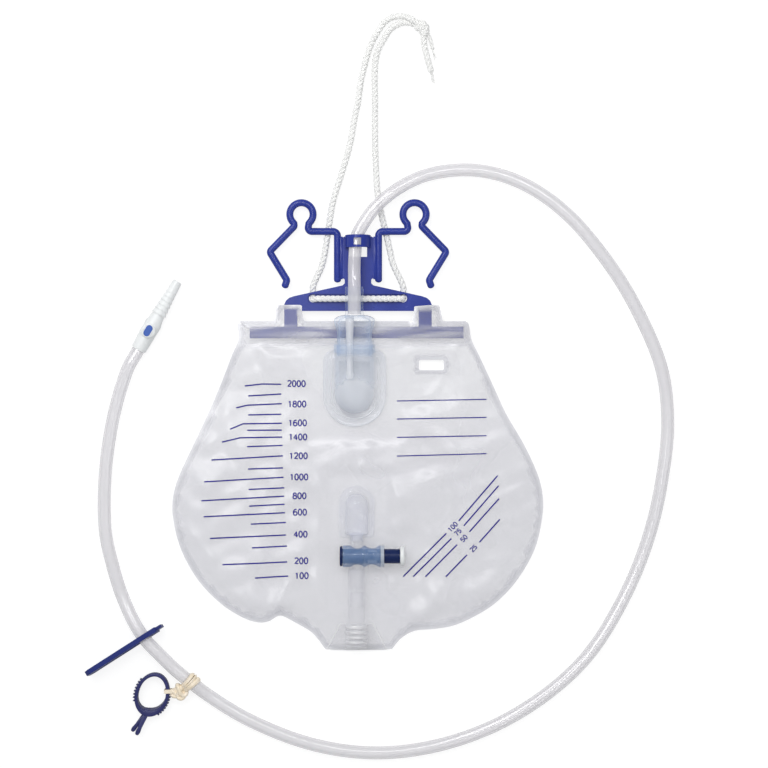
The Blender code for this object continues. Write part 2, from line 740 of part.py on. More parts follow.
def make_pocket(clear):
    """The film pocket over the spout, welded down along its sides and its lower edge."""
    rows = []
    around = RIB_R + GAP + 0.2
    low = OUTLET_BACK
    stations = [
        (0.0, 1.0), (0.25, 1.0), (0.5, 1.0),
        ((POCKET_SLOPE_START - POCKET_TOP) / (POCKET_BOTTOM - POCKET_TOP), 1.0),
        (0.93, 0.5), (1.0, 0.0),
    ]
    for along, full in stations:
        depth = POCKET_TOP + (POCKET_BOTTOM - POCKET_TOP) * along
        half = POCKET_TOP_HALF + (POCKET_BOTTOM_HALF - POCKET_TOP_HALF) * along
        line = [(half, low), (half - 1.5, low)]
        line += [((half - 1.5 + around) / 2 + 0.4, low + (TAP_Z - low) * 0.45 * full)]
        line += [(x, low + (z - low) * full) for x, z in arc(0, TAP_Z, around, 0, 90, 5)]
        line += [(-x, z) for x, z in line[-2::-1]]
        rows.append([at(OUTLET_X + x, depth, z) for x, z in line])
    count = len(rows[0])
    under = [point for row in rows for point in row]
    normals = []
    for r, row in enumerate(rows):
        for k in range(count):
            side = row[min(k + 1, count - 1)] - row[max(k - 1, 0)]
            along = rows[min(r + 1, len(rows) - 1)][k] - rows[max(r - 1, 0)][k]
            normals.append(side.cross(along).normalized())
    over = [point + normal * FILM for point, normal in zip(under, normals)]
    size = len(under)
    faces = []
    for r in range(len(rows) - 1):
        for k in range(count - 1):
            a, b = r * count + k, (r + 1) * count + k
            faces += [[a, a + 1, b + 1, b], [size + a, size + b, size + b + 1, size + a + 1]]
    last = (len(rows) - 1) * count
    for k in range(count - 1):
        for base in (0, last):
            faces.append([base + k, base + k + 1, size + base + k + 1, size + base + k])
    for r in range(len(rows) - 1):
        for k in (0, count - 1):
            a, b = r * count + k, (r + 1) * count + k
            faces.append([a, b, size + b, size + a])
    return add_mesh("outlet_pocket", (under + over, faces), clear)


# Hanger and hooks


def make_hanger(blue):
    """Bar, legs, base with its cord channel, centre plate, tube bridge and hinge roots."""
    sx, sd = BASE_SHOULDER
    right = [
        (LEG_INNER, BAR_TOP + 2), (LEG_INNER, BASE_BOTTOM),
    ]
    outer = [
        (LEG_OUTER, BAR_TOP + 2), (LEG_OUTER, LEG_TOP), (LEG_OUTER - 1.2, LEG_TOP - 2.8),
        (LEG_OUTER - 3.6, LEG_TOP - 4.9), (sx, sd), (NECK_HALF + 1.5, NECK_DEPTH + 0.5),
        (NECK_HALF, NECK_DEPTH - 1), (NECK_HALF, HINGE_BOTTOM),
        (HINGE_X - WEB_FROM_PLATE - 0.6, HINGE_BOTTOM), (HINGE_X - WEB_FROM_PLATE - 0.6, CENTRE_TOP + 1.2),
        (NECK_HALF - 1.0, CENTRE_TOP),
    ]
    half = right[::-1] + outer
    outline = [at(x, depth).xy for x, depth in half]
    outline += [at(-x, depth).xy for x, depth in half[::-1]]
    top = HANGER_Z + PLATE
    hanger = add_mesh("hanger_plate", prism(outline, HANGER_Z, top), blue)
    bar = [at(x, d).xy for x, d in (
        (BAR_LEFT, BAR_TOP), (BAR_RIGHT, BAR_TOP), (BAR_RIGHT, BAR_BOTTOM), (BAR_LEFT, BAR_BOTTOM))]
    join(hanger, "hem_bar", prism(bar, HANGER_Z, HANGER_Z + BAR_THICK))

    channel_y = TOP_Y - CHANNEL_DEPTH_ON_BAG
    channel = slot_outline(CHANNEL_HALF, CHANNEL_WIDTH / 2, 0, channel_y)
    cut(hanger, "cord_channel", prism(channel, top - CHANNEL_CUT, top + 1))
    hole_x = CHANNEL_HALF - GAP - HOLE_LENGTH / 2
    for side, name in ((-1, "left_cord_hole"), (1, "right_cord_hole")):
        hole = [
            (side * hole_x - HOLE_LENGTH / 2, channel_y - HOLE_WIDTH / 2 + 1.5),
            (side * hole_x - HOLE_LENGTH / 2 + 1.5, channel_y - HOLE_WIDTH / 2),
            (side * hole_x + HOLE_LENGTH / 2 - 1.5, channel_y - HOLE_WIDTH / 2),
            (side * hole_x + HOLE_LENGTH / 2, channel_y - HOLE_WIDTH / 2 + 1.5),
            (side * hole_x + HOLE_LENGTH / 2, channel_y + HOLE_WIDTH / 2 - 1.5),
            (side * hole_x + HOLE_LENGTH / 2 - 1.5, channel_y + HOLE_WIDTH / 2),
            (side * hole_x - HOLE_LENGTH / 2 + 1.5, channel_y + HOLE_WIDTH / 2),
            (side * hole_x - HOLE_LENGTH / 2, channel_y + HOLE_WIDTH / 2 - 1.5),
        ]
        cut(hanger, name, prism(hole, HANGER_Z - 1, top + 1))

    opening = [at(x, d).xy for x, d in (
        (-APERTURE_HALF, APERTURE_BOTTOM), (APERTURE_HALF, APERTURE_BOTTOM),
        (APERTURE_HALF, CENTRE_TOP - 1), (-APERTURE_HALF, CENTRE_TOP - 1))]
    cut(hanger, "tube_aperture", prism(opening, HANGER_Z - 1, top + 1))
    rise, inner = BRIDGE_RISE, NECK_HALF - 0.4 - BRIDGE_WALL
    arch = arc(0, top, NECK_HALF - 0.4, 0, 180, 14, rise / (NECK_HALF - 0.4))
    arch += arc(0, top, inner, 180, 0, 14, (rise - BRIDGE_WALL) / inner)
    low, high = TOP_Y - BRIDGE_BOTTOM, TOP_Y - CENTRE_TOP
    arch = [(x, z - 0.4 if abs(z - top) < 1e-6 else z) for x, z in arch]
    join(hanger, "tube_bridge", prism(arch, low, high, "Y"))
    window = [at(x, d).xy for x, d in (
        (-WINDOW_HALF - 0.3, WINDOW_BOTTOM), (WINDOW_HALF - 0.3, WINDOW_BOTTOM),
        (WINDOW_HALF - 0.3, WINDOW_TOP), (-WINDOW_HALF - 0.3, WINDOW_TOP))]
    cut(hanger, "bridge_window", prism(window, top + 4, top + rise + 1))
    for side, name in ((-1, "left_hinge_root"), (1, "right_hinge_root")):
        span = sorted((side * (HINGE_X - WEB_FROM_PLATE - 1.4), side * (HINGE_X - WEB_FROM_PLATE)))
        root = block(*span, TOP_Y - HINGE_BOTTOM, TOP_Y - HINGE_TOP, top - WEB, top)
        join(hanger, name, root)
    return hanger


def hook_line():
    """Centre line of the right hook from the stem's foot to the open end, as (x, depth)."""
    ring = arc(RING_X, -RING_DEPTH, RING_RADIUS, 180 + RING_MOUTH, -RING_MOUTH, 17)
    ring = [(x, -up) for x, up in ring]
    lead = rounded_path([(STEM_X, STEM_BOTTOM), (STEM_X, ARM_DEPTH), (ARM_END, ARM_DEPTH), ring[0]],
                        [3.2, 2.6])
    tail = rounded_path([ring[-1], NECK_LEG, ELBOW, HEEL, FOOT], [2.0, 2.4, 2.2])
    line = [Vector(p) for p in lead[:-1]] + [Vector(p) for p in ring] + tail[1:]
    return [p for k, p in enumerate(line) if k == 0 or (p - line[k - 1]).length > 0.25]


def make_hook(name, side, blue):
    """One hook with its hinge web: a half round bar swept along its line, on its own hinge frame."""
    axis_z = HANGER_Z + PLATE - WEB / 2
    hinge = empty(name + "_hinge", at(side * HINGE_X, HINGE_BOTTOM, axis_z), Matrix.Identity(3))
    line = hook_line()
    half = HOOK_WIDTH / 2
    section = [(half, 0.0), (half, 0.8)]
    section += arc(0, 0.8, half, 25, 155, 6, (HOOK_HEIGHT - 0.8) / half) + [(-half, 0.8), (-half, 0.0)]
    rings = []
    for k, point in enumerate(line):
        before, after = line[max(k - 1, 0)], line[min(k + 1, len(line) - 1)]
        along = (after - before).normalized()
        across = Vector((-along.y, along.x))
        mitre = 1.0
        if 0 < k < len(line) - 1:
            bend = (point - before).normalized().dot((after - point).normalized())
            mitre = 1 / math.sqrt(max((1 + bend) / 2, 0.5))
        ring = []
        for u, z in section:
            spot = point + across * u * mitre
            place = at(side * spot.x, spot.y, HANGER_Z + z)
            ring.append(place - Vector(at(side * HINGE_X, HINGE_BOTTOM, axis_z)))
        rings.append(ring)
    hook = add_mesh(name, loft(rings), blue, hinge)
    edge = sorted((side * WEB_TO_AXIS, side * (STEM_X - half + 0.8 - HINGE_X)))
    web = block(*edge, 0, HINGE_BOTTOM - HINGE_TOP, -WEB / 2, WEB / 2)
    join(hook, name + "_web", web)
    return hook


# Drip chamber and stopper


def dome_shape(half, arc_z, back, top_y, end_y):
    """A half round tunnel whose lower end closes as a quarter of a ball."""
    rings = []
    for y in (top_y, end_y):
        rings.append([(x, y, z) for x, z in d_outline(half, arc_z, back)])
    for angle in (18, 36, 54, 70, 82):
        scale = math.cos(math.radians(angle))
        y = end_y - half * math.sin(math.radians(angle))
        rings.append([(x, y, z) for x, z in d_outline(half * scale, arc_z, back)])
    return loft(rings)


def flange_outline(half, length, corner):
    """A tongue with rounded upper corners and a half round lower end."""
    low = -(length - half)
    return (
        arc(half - corner, -corner, corner, 0, 90, 5)
        + arc(-half + corner, -corner, corner, 90, 180, 5)
        + arc(0, low, half, 180, 360, 20)
    )


def make_chamber(frame, clear):
    """The domed chamber with its mouth rim and its welding flange, open to the bag behind."""
    chamber = add_mesh(
        "drip_chamber", prism(flange_outline(FLANGE_HALF, FLANGE_LENGTH, 8.0), 0, FLANGE_THICK),
        clear, frame,
    )
    join(chamber, "chamber_dome", dome_shape(DOME_HALF, DOME_ARC_Z, DOME_BACK - 0.6, MOUTH_Y, DOME_END))
    rim = d_outline(DOME_HALF + MOUTH_RIM, DOME_ARC_Z, DOME_BACK)
    join(chamber, "mouth_rim", prism(rim, MOUTH_Y - MOUTH_RIM_LENGTH, MOUTH_Y, "Y"))
    inner = DOME_HALF - CHAMBER_WALL
    floor = DOME_BACK + CHAMBER_WALL
    cut(chamber, "chamber_cavity",
        dome_shape(inner, DOME_ARC_Z, floor, MOUTH_Y + 1, DOME_END))
    cut(chamber, "chamber_opening", prism(chamber_window(), -1, floor + 1))
    return chamber


def make_stopper(frame, clear):
    """The stopper: disc, neck, skirt inside the chamber, drip nozzle and tube collar."""
    disc_top = STOPPER_DISC_Y + STOPPER_DISC_THICK
    neck = d_outline(STOPPER_NECK_HALF, DOME_ARC_Z, DOME_BACK)
    stopper = add_mesh(
        "chamber_stopper", prism(neck, MOUTH_Y + GAP, disc_top - 0.5, "Y"), clear, frame
    )
    disc = d_outline(STOPPER_DISC_HALF, DOME_ARC_Z, DOME_BACK)
    join(stopper, "stopper_disc", prism(disc, STOPPER_DISC_Y, disc_top, "Y"))
    outer = DOME_HALF - CHAMBER_WALL - GAP
    back = DOME_BACK + CHAMBER_WALL + GAP
    skirt = d_outline(outer, DOME_ARC_Z, back)
    join(stopper, "stopper_skirt", prism(skirt, SKIRT_END, MOUTH_Y + 1, "Y"))
    hollow = d_outline(outer - SKIRT_WALL, DOME_ARC_Z, back + SKIRT_WALL)
    cut(stopper, "stopper_hollow", prism(hollow, SKIRT_END - 1, STOPPER_DISC_Y - 1.4, "Y"))
    upright = Matrix.Translation((0, 0, COLLAR_Z)) @ Matrix.Rotation(math.radians(-90), 4, "X")
    join(stopper, "drip_nozzle", moved(rod(NOZZLE_R, NOZZLE_END, STOPPER_DISC_Y), upright))
    join(stopper, "tube_collar", moved(rod(COLLAR_R, disc_top - 1, COLLAR_END), upright))
    bore = lathe([
        (NOZZLE_END - 1, 0), (NOZZLE_END - 1, NOZZLE_BORE), (disc_top, NOZZLE_BORE),
        (TUBE_START_Y - GAP, TUBE_R + GAP + 0.05), (COLLAR_END + 1, TUBE_R + GAP + 0.05),
        (COLLAR_END + 1, 0),
    ])
    cut(stopper, "tube_bore", moved(bore, upright))
    return stopper


def make_return_valve(frame, soft):
    """A soft flap that hangs behind the chamber's opening."""
    low, high = VALVE_Y
    under = -(FILM + 2 * GAP)
    outline = [(VALVE_HALF, high), (-VALVE_HALF, high)]
    outline += arc(0, low + VALVE_HALF, VALVE_HALF, 180, 360, 10)
    return add_mesh(
        "non_return_valve", prism(outline, under - VALVE_THICK, under), soft, frame
    )


# Drain outlet, tap and spout


def make_outlet(clear):
    """The port on the front film, its dome and the spigot for the tap."""
    outline = arc(0, -(PORT_TOP + PORT_HALF), PORT_HALF, 0, 180, 16)
    outline += arc(-PORT_HALF + 4, -PORT_BOTTOM + 4, 4, 180, 270, 4)
    outline += arc(PORT_HALF - 4, -PORT_BOTTOM + 4, 4, 270, 360, 4)
    frame = empty("outlet_frame", at(OUTLET_X, 0, 0), Matrix.Identity(3))
    outlet = add_mesh(
        "drain_outlet", prism(outline, OUTLET_BACK, OUTLET_BACK + PORT_THICK), clear, frame
    )
    floor = OUTLET_BACK + PORT_THICK
    top_y = PORT_DOME_TOP + PORT_DOME_HALF
    dome = raised_dome(PORT_DOME_HALF, floor - 0.4, top_y, PORT_DOME_BOTTOM)
    join(outlet, "outlet_dome", dome)
    along = Matrix.Translation((0, 0, TAP_Z)) @ Matrix.Rotation(math.radians(90), 4, "X")
    join(outlet, "outlet_spigot", moved(rod(SPIGOT_R, PORT_DOME_BOTTOM - 2, SPIGOT_END), along))
    cavity = raised_dome(PORT_DOME_HALF - PORT_WALL, floor, top_y, PORT_DOME_BOTTOM - PORT_WALL)
    cut(outlet, "outlet_cavity", cavity)
    cut(outlet, "spigot_bore", moved(rod(SPIGOT_BORE, PORT_DOME_BOTTOM - 4, SPIGOT_END + 1), along))
    window = [(x - OUTLET_X, -depth) for x, depth in outlet_window()]
    cut(outlet, "outlet_opening", prism(window, OUTLET_BACK - 1, floor + 1))
    return outlet


def raised_dome(half, back, end_depth, bottom_depth):
    """The outlet's tunnel, closed at its upper end as a quarter of a ball."""
    rings = [[(x, -bottom_depth, z) for x, z in d_outline(half, PORT_ARC_Z, back, 12)]]
    for angle in (0, 20, 40, 60, 78):
        scale = math.cos(math.radians(angle))
        y = -end_depth + half * math.sin(math.radians(angle))
        rings.append([(x, y, z) for x, z in d_outline(half * scale, PORT_ARC_Z, back, 12)])
    return loft(rings)


def make_tap(clear, blue, white, rubber):
    """The tap body with its sockets, and the piston, end disc and seals that slide in it."""
    middle = at(OUTLET_X, TAP_DEPTH, TAP_Z)
    lying = Matrix.Rotation(math.radians(90), 4, "Y")
    upright = Matrix.Rotation(math.radians(-90), 4, "X")
    frame = empty("tap_frame", middle, Matrix.Identity(3))
    body = add_mesh("tap_body", moved(rod(TAP_R, TAP_LEFT, TAP_RIGHT, 28, 0.5), lying), clear, frame)

    def down(depth):
        return TAP_DEPTH - depth

    upper = [(2, 0), (2, UPPER_COLLAR_R), (down(SPIGOT_END + GAP), UPPER_COLLAR_R),
             (down(SPIGOT_END + GAP), STUB_R), (down(STUB_TOP), STUB_R), (down(STUB_TOP), 0)]
    lower = [(down(NIPPLE_END), 0), (down(NIPPLE_END), NIPPLE_R),
             (down(LOWER_COLLAR_END), NIPPLE_R), (down(LOWER_COLLAR_END), LOWER_COLLAR_R),
             (-2, LOWER_COLLAR_R), (-2, 0)]
    join(body, "upper_neck", moved(lathe(upper, 26), upright))
    join(body, "lower_neck", moved(lathe(lower, 26), upright))
    reach = TAP_R - SCALLOP_CUT + SCALLOP_R
    for side, name in ((-1, "lower_scallop"), (1, "upper_scallop")):
        place = Matrix.Translation((SCALLOP_X, side * reach, 0))
        cut(body, name, moved(rod(SCALLOP_R, -TAP_R - 1, TAP_R + 1, 40), place))
    cut(body, "tap_bore", moved(rod(BORE_R, TAP_LEFT - 1, TAP_RIGHT + 1, 28, 0.5), lying))
    passage = [(down(NIPPLE_END) - 1, 0), (down(NIPPLE_END) - 1, NIPPLE_BORE), (-1, NIPPLE_BORE),
               (-1, PASSAGE_R), (down(STUB_TOP) + 1, PASSAGE_R), (down(STUB_TOP) + 1, 0)]
    cut(body, "tap_passage", moved(lathe(passage, 24), upright))

    left, right = TAP_LEFT - GAP, TAP_RIGHT + PISTON_STROKE
    waist = PISTON_STROKE
    groove_r = PISTON_R - 2 * SEAL_R - GAP
    seals = [waist - WAIST_HALF - 2.6, waist + WAIST_HALF + 2.6]
    profile = [(left - LEFT_DISC, 0), (left - LEFT_DISC, DISC_R), (left, DISC_R), (left, PISTON_R)]
    for centre, radius, half in (
        (seals[0], groove_r, SEAL_GROOVE / 2), (waist, WAIST_R, WAIST_HALF),
        (seals[1], groove_r, SEAL_GROOVE / 2),
    ):
        profile += [(centre - half, PISTON_R), (centre - half, radius)]
        profile += [(centre + half, radius), (centre + half, PISTON_R)]
    profile += [(right, PISTON_R), (right, DISC_HUB_R), (right - DISC_HUB, DISC_HUB_R), (right - DISC_HUB, 0)]
    add_mesh("tap_piston", moved(lathe(profile, 22), lying), blue, frame)
    hub_r = DISC_HUB_R - GAP
    disc = lathe([
        (right - DISC_HUB + GAP, 0), (right - DISC_HUB + GAP, hub_r), (right + GAP, hub_r),
        (right + GAP, DISC_R - 0.4), (right + GAP + 0.4, DISC_R), (right + RIGHT_DISC - 0.4, DISC_R),
        (right + RIGHT_DISC, DISC_R - 0.5), (right + RIGHT_DISC, 0),
    ], 28)
    add_mesh("piston_end_disc", moved(disc, lying), white, frame)
    for centre, name in zip(seals, ("piston_seal_left", "piston_seal_right")):
        inner = groove_r + GAP / 2
        outer = inner + 2 * SEAL_R
        ring = ring_of(Vector((centre, 0, 0)), Vector((0, 1, 0)), Vector((0, 0, 1)),
                       (inner + outer) / 2, (inner + outer) / 2, SEAL_R)
        add_mesh(name, ring, rubber, frame)


def make_spout(clear):
    """The drain tube below the tap and the ribbed spout at its end."""
    along = Matrix.Translation(at(OUTLET_X, 0, TAP_Z)) @ Matrix.Rotation(math.radians(90), 4, "X")
    sleeve = pipe(TUBE_END_R, TUBE_END_BORE, LOWER_COLLAR_END + GAP, TUBE_END)
    add_mesh("drain_tube", moved(sleeve, along), clear)
    profile = [(SHANK_TOP, SPOUT_BORE), (SHANK_TOP, SHANK_R), (TUBE_END + GAP, SHANK_R),
               (TUBE_END + GAP, SPOUT_R)]
    for k in range(RIBS):
        start = RIB_FIRST + k * RIB_PITCH - RIB_LENGTH / 2
        profile += [(start, SPOUT_R), (start + 0.3, RIB_R), (start + RIB_LENGTH - 0.3, RIB_R),
                    (start + RIB_LENGTH, SPOUT_R)]
    profile += [(SPOUT_END, SPOUT_R), (SPOUT_END, SPOUT_BORE)]
    add_mesh("drain_spout", moved(lathe(profile, 22), along), clear)


# Drainage tube, connector, clamp, clip and cord


def tube_route():
    """The route of the drainage tube's axis, from the stopper's collar to the connector."""
    tilt = Matrix.Rotation(CHAMBER_TILT, 3, "X")
    root = at(CHAMBER_X, CHAMBER_DEPTH, CHAMBER_SEAT)
    inside_collar = [
        root + tilt @ Vector((0, y, COLLAR_Z)) for y in (TUBE_START_Y, 36.0, COLLAR_END + 3.5)
    ]
    over_plate = [
        at(-2.6, -33.0, 17.1), at(-2.5, -39.0, 14.6), at(-2.3, -44.6, 12.4), at(-1.9, -51.2, 10.6),
        at(-1.2, -58.5, 9.9),
        at(5.8, -71.5, 9.6), at(14.6, -82.5, CORD_D + GAP + TUBE_R + 0.1), at(30.7, -95.3, 8.0),
        at(52.6, -105.1, 5.4),
    ]
    laid = [
        (85.4, -108.0), (118.3, -99.3), (151.1, -77.4), (184.0, -38.7), (205.9, -1.8),
        (222.0, 38.0), (226.2, 76.0), (222.6, 114.6), (212.8, 158.4), (195.3, 202.2),
        (168.3, 246.0), (136.0, 276.0), (96.4, 299.3), (52.6, 313.5), (8.8, 317.6),
        (-35.0, 311.0), (-78.8, 294.0), (-108.0, 276.5),
    ]
    held = [(-122.6, 265.2, 7.6), (-133.6, 256.2, 8.0), (-144.5, 245.6, TUBE_LIFT),
            (-154.0, 235.8, TUBE_LIFT), (-162.1, 224.1, 7.7)]
    rise = [(-172.6, 202.2), (-179.4, 180.3), (-184.3, 158.4), (-185.4, 130.0), (-183.2, 99.0),
            (-176.8, 64.0)]
    socket = [
        CONNECTOR_FOOT + connector_turn() @ Vector((0, 0, s))
        for s in (-14.0, -5.0, SOCKET_DEPTH - GAP)
    ]
    route = inside_collar + over_plate
    route += [at(x, depth, LAID) for x, depth in laid]
    route += [at(x, depth, z) for x, depth, z in held]
    route += [at(x, depth, LAID) for x, depth in rise]
    return route + socket


def on_tube(place):
    """The point of the tube's axis nearest a place, and the tube's direction there."""
    route = smooth_route(tube_route(), 1.0, LAID)
    k = min(range(1, len(route) - 1), key=lambda k: (route[k] - place).length)
    return route[k], (route[k + 1] - route[k - 1]).normalized()


def connector_turn():
    """Turns +Z along the connector, from its socket to its tip."""
    lean = math.radians(CONNECTOR_LEAN)
    along = Vector((math.sin(lean), math.cos(lean), 0))
    up = Vector((0, 0, 1))
    return Matrix((along.cross(up), up, along)).transposed()


def make_connector(white, blue):
    """The stepped catheter connector with its sampling port, and the port's septum."""
    frame = empty("connector_frame", CONNECTOR_FOOT, connector_turn())
    profile = list(CONNECTOR_BODY)
    for k in range(BARBS):
        start = BARB_FIRST + k * BARB_PITCH
        radius = BARB_R + (BARB_TIP_R - BARB_R) * k / BARBS
        after = BARB_R + (BARB_TIP_R - BARB_R) * (k + 1) / BARBS
        profile += [(start, radius - BARB_LIP - 0.4), (start, radius)]
        if k < BARBS - 1:
            profile.append((start + BARB_PITCH - 0.2, after - BARB_LIP))
    profile += [(CONNECTOR_LENGTH, BARB_TIP_R - 0.25), (CONNECTOR_LENGTH, CONNECTOR_BORE),
                (SOCKET_DEPTH, CONNECTOR_BORE), (SOCKET_DEPTH, CONNECTOR_SOCKET),
                (0.0, CONNECTOR_SOCKET)]
    connector = add_mesh("catheter_connector", lathe(profile, 20), white, frame)
    facing = Matrix.Translation((0, 0, BOSS_S)) @ Matrix.Rotation(math.radians(-90), 4, "X")
    boss = lathe([(3.0, 0), (3.0, BOSS_R), (BOSS_TOP - 0.5, BOSS_R), (BOSS_TOP, BOSS_R - 0.5),
                  (BOSS_TOP, 0)], 28)
    join(connector, "port_boss", moved(boss, facing))
    pocket = [(y, x) for x, y in slot_outline(SEPTUM_LENGTH / 2 + GAP, SEPTUM_HALF + GAP)]
    cut(connector, "septum_pocket",
        moved(prism(pocket, BOSS_TOP - SEPTUM_DEPTH - GAP, BOSS_TOP + 1), facing))
    oval = [(y, x) for x, y in slot_outline(SEPTUM_LENGTH / 2, SEPTUM_HALF)]
    add_mesh("sampling_septum",
             moved(prism(oval, BOSS_TOP - SEPTUM_DEPTH, BOSS_TOP + SEPTUM_PROUD), facing), blue, frame)


def make_slide_clamp(blue):
    """The slide clamp: a plate with a keyhole, standing on edge over the tube."""
    turn = Matrix.Rotation(math.radians(CLAMP_ANGLE), 3, "Z")
    lean = Matrix.Rotation(math.radians(-CLAMP_LEAN), 3, "X")
    stand = Matrix(((1, 0, 0), (0, 0, -1), (0, 1, 0)))
    frame = empty("clamp_frame", on_tube(CLAMP_PLACE)[0], turn @ lean @ stand)
    half, t = CLAMP_WIDTH / 2, CLAMP_THICK / 2
    outline = [(CLAMP_LEFT + 3, -half), (CLAMP_RIGHT, -half), (CLAMP_RIGHT, half),
               (CLAMP_LEFT + 3, half), (CLAMP_LEFT, half - 3), (CLAMP_LEFT, -half + 3)]
    clamp = add_mesh("slide_clamp", prism(outline, -t, t), blue, frame)
    tip = block(CLAMP_RIGHT - 1, CLAMP_RIGHT + CLAMP_TIP, -half + 3, half - 3, -t + 0.4, t - 0.9)
    join(clamp, "clamp_tip", tip)
    key = arc(0, 0, KEYHOLE_R, -150, 150, 20)
    key += [(-KEYHOLE_R - 3, SLOT_HALF), (-SLOT_LENGTH, SLOT_END_HALF), (-SLOT_LENGTH, -SLOT_END_HALF),
            (-KEYHOLE_R - 3, -SLOT_HALF)]
    cut(clamp, "keyhole", prism(key, -t - 1, t + 1))
    return clamp


def make_sheet_clip(blue):
    """The one-piece spring clip: oval ring, finger teeth and two crossing prongs."""
    frame = empty("clip_frame", CLIP_PLACE, Matrix.Rotation(math.radians(CLIP_TURN), 3, "Z"))
    a, b = CLIP_OUTER
    clip = add_mesh("sheet_clip", prism(arc(0, 0, a, 0, 351, 39, b / a), 0, CLIP_HEIGHT), blue, frame)
    for side in (-1, 1):
        for k in range(TEETH):
            y = -b * 0.42 + k * b * 0.11
            x = side * a * math.sqrt(1 - (y / b) ** 2)
            tooth = [(x - side * 1.5, y - TOOTH_HALF), (x + side * TOOTH_PROUD, y - 0.2),
                     (x - side * 1.5, y + TOOTH_HALF)]
            join(clip, f"clip_tooth_{'left' if side < 0 else 'right'}_{k + 1}",
                 prism(tooth, 0.4, CLIP_HEIGHT - 0.4))
    levels = [(0.0, CLIP_HEIGHT / 2 - 0.1), (CLIP_HEIGHT / 2 + 0.1, CLIP_HEIGHT)]
    for side, (low, high) in zip((-1, 1), levels):
        turn = Matrix.Translation((0, -b + 2.0, 0)) @ Matrix.Rotation(
            math.radians(-14 + side * PRONG_SPREAD), 4, "Z")
        w = PRONG_WIDTH / 2
        outline = [(-w, 3.0), (-w * 0.8, -PRONG_LENGTH + w)]
        outline += arc(0, -PRONG_LENGTH + w, w * 0.8, 180, 360, 6)[1:] + [(w, 3.0)]
        join(clip, "clip_prong_" + ("low" if side < 0 else "high"),
             moved(prism(outline, low, high), turn))
    c, d = CLIP_INNER
    hole = arc(0, CLIP_HOLE_SHIFT, c, 0, 351, 39, d / c)
    cut(clip, "clip_hole", prism(hole, -1, CLIP_HEIGHT + 1))
    return clip


def make_band(cream):
    """The elastic band: turns round the tube, a knot, and a loop round the clip's limb."""
    middle, along = on_tube(BAND_PLACE)
    turn = along.to_track_quat("Z", "Y").to_matrix().to_4x4()
    inner = TUBE_R + GAP + 0.15
    half = BAND_ON_TUBE / 2
    sleeve = pipe(inner + BAND, inner, -half, half, 24)
    band = add_mesh("clip_elastic_band", moved(sleeve, Matrix.Translation(middle) @ turn), cream)
    out = Vector((-along.y, along.x, 0))
    for k, ((away, forward, up), radii) in enumerate(KNOT_OF_BAND):
        place = middle + out * away + along * forward + Vector((0, 0, up))
        join(band, f"band_knot_{k + 1}", ball(place, radii))
    limb = CLIP_PLACE + LIMB_PLACE
    low, high = -GAP, CLIP_HEIGHT + GAP
    outer = [(-LIMB_INNER - BAND, low - BAND), (LIMB_OUTER + BAND, low - BAND),
             (LIMB_OUTER + BAND, high + BAND), (-LIMB_INNER - BAND, high + BAND)]
    hollow = [(-LIMB_INNER, low), (LIMB_OUTER, low), (LIMB_OUTER, high), (-LIMB_INNER, high)]
    place = Matrix.Translation(limb)
    reach = BAND_WIDTH / 2
    join(band, "band_loop", moved(prism(outer, -reach, reach, "Y"), place))
    cut(band, "band_loop_hollow", moved(prism(hollow, -reach - 1, reach + 1, "Y"), place))
    return band


def hanging_route():
    """The cord's route: knot, left strand, channel in the base, right strand, knot."""
    low, high = CORD_D / 2 + 0.05, HANGER_Z + PLATE - CHANNEL_CUT + GAP + CORD_D / 2
    middle = CHANNEL_DEPTH_ON_BAG
    hole = CHANNEL_HALF - GAP - HOLE_LENGTH / 2 - 0.3
    left = [
        (27.7, -221.2), (20.3, -217.5), (13.8, -208.7),
        (8.7, -198.4), (4.5, -184.2), (1.9, -172.6), (0.0, -158.5), (-2.2, -148.3), (-6.0, -127.0),
        (-12.0, -106.0), (-18.6, -84.0), (-22.4, -60.0), (-26.0, -40.0),
    ]
    right = [
        (25.4, -40.0), (23.0, -51.0), (18.0, -72.0), (14.4, -90.0), (13.3, -105.0), (12.4, -130.0),
        (12.4, -158.5), (12.4, -184.2), (14.2, -195.0), (18.5, -203.4), (24.0, -211.7),
        (30.1, -215.4), (34.7, -216.4), (39.3, -215.8),
    ]
    dip = 3.3
    bend = [
        (-hole, middle - 9.0, low), (-hole, middle - dip - 0.6, low), (-hole, middle - 1.0, low + 1.0),
        (-hole, middle, low + dip), (-hole + 1.0, middle, high - 1.0), (-hole + dip, middle, high),
        (-hole + 8.0, middle, high), (-12.0, middle, high), (0.0, middle, high),
    ]
    route = [at(40.2, -217.5, 6.0), at(34.0, -220.9, 4.3)] + [at(x, d, low) for x, d in left]
    route += [at(x, d, z) for x, d, z in bend]
    route += [at(-x, d, z) for x, d, z in bend[-2::-1]]
    return route + [at(x, d, low) for x, d in right]


def make_hanging_cord(white):
    """The hanging loop, its knot and its two tails."""
    radius = CORD_D / 2
    cord("hanging_cord", cord_points(), radius, 2, white)
    knot = add_mesh("cord_knot", ball(at(45.2, -214.2, 4.1), (5.3, 4.6, 4.0)), white)
    join(knot, "knot_second_turn", ball(at(49.3, -209.9, 4.4), (4.6, 4.4, 4.2)))
    long_tail = [at(x, d, radius + 0.05) for x, d in (
        (48.0, -204.8), (48.4, -199.6), (50.3, -191.6), (52.6, -183.5), (53.2, -180.4))]
    cord("cord_tail_long", smooth_route(long_tail, 4.0), radius, 2, white)
    short_tail = [at(52.0, -206.1, 2.1), at(53.3, -202.6, 1.4), at(54.6, -197.0, 1.35)]
    cord("cord_tail_short", smooth_route(short_tail, 3.0), 1.3, 2, white)


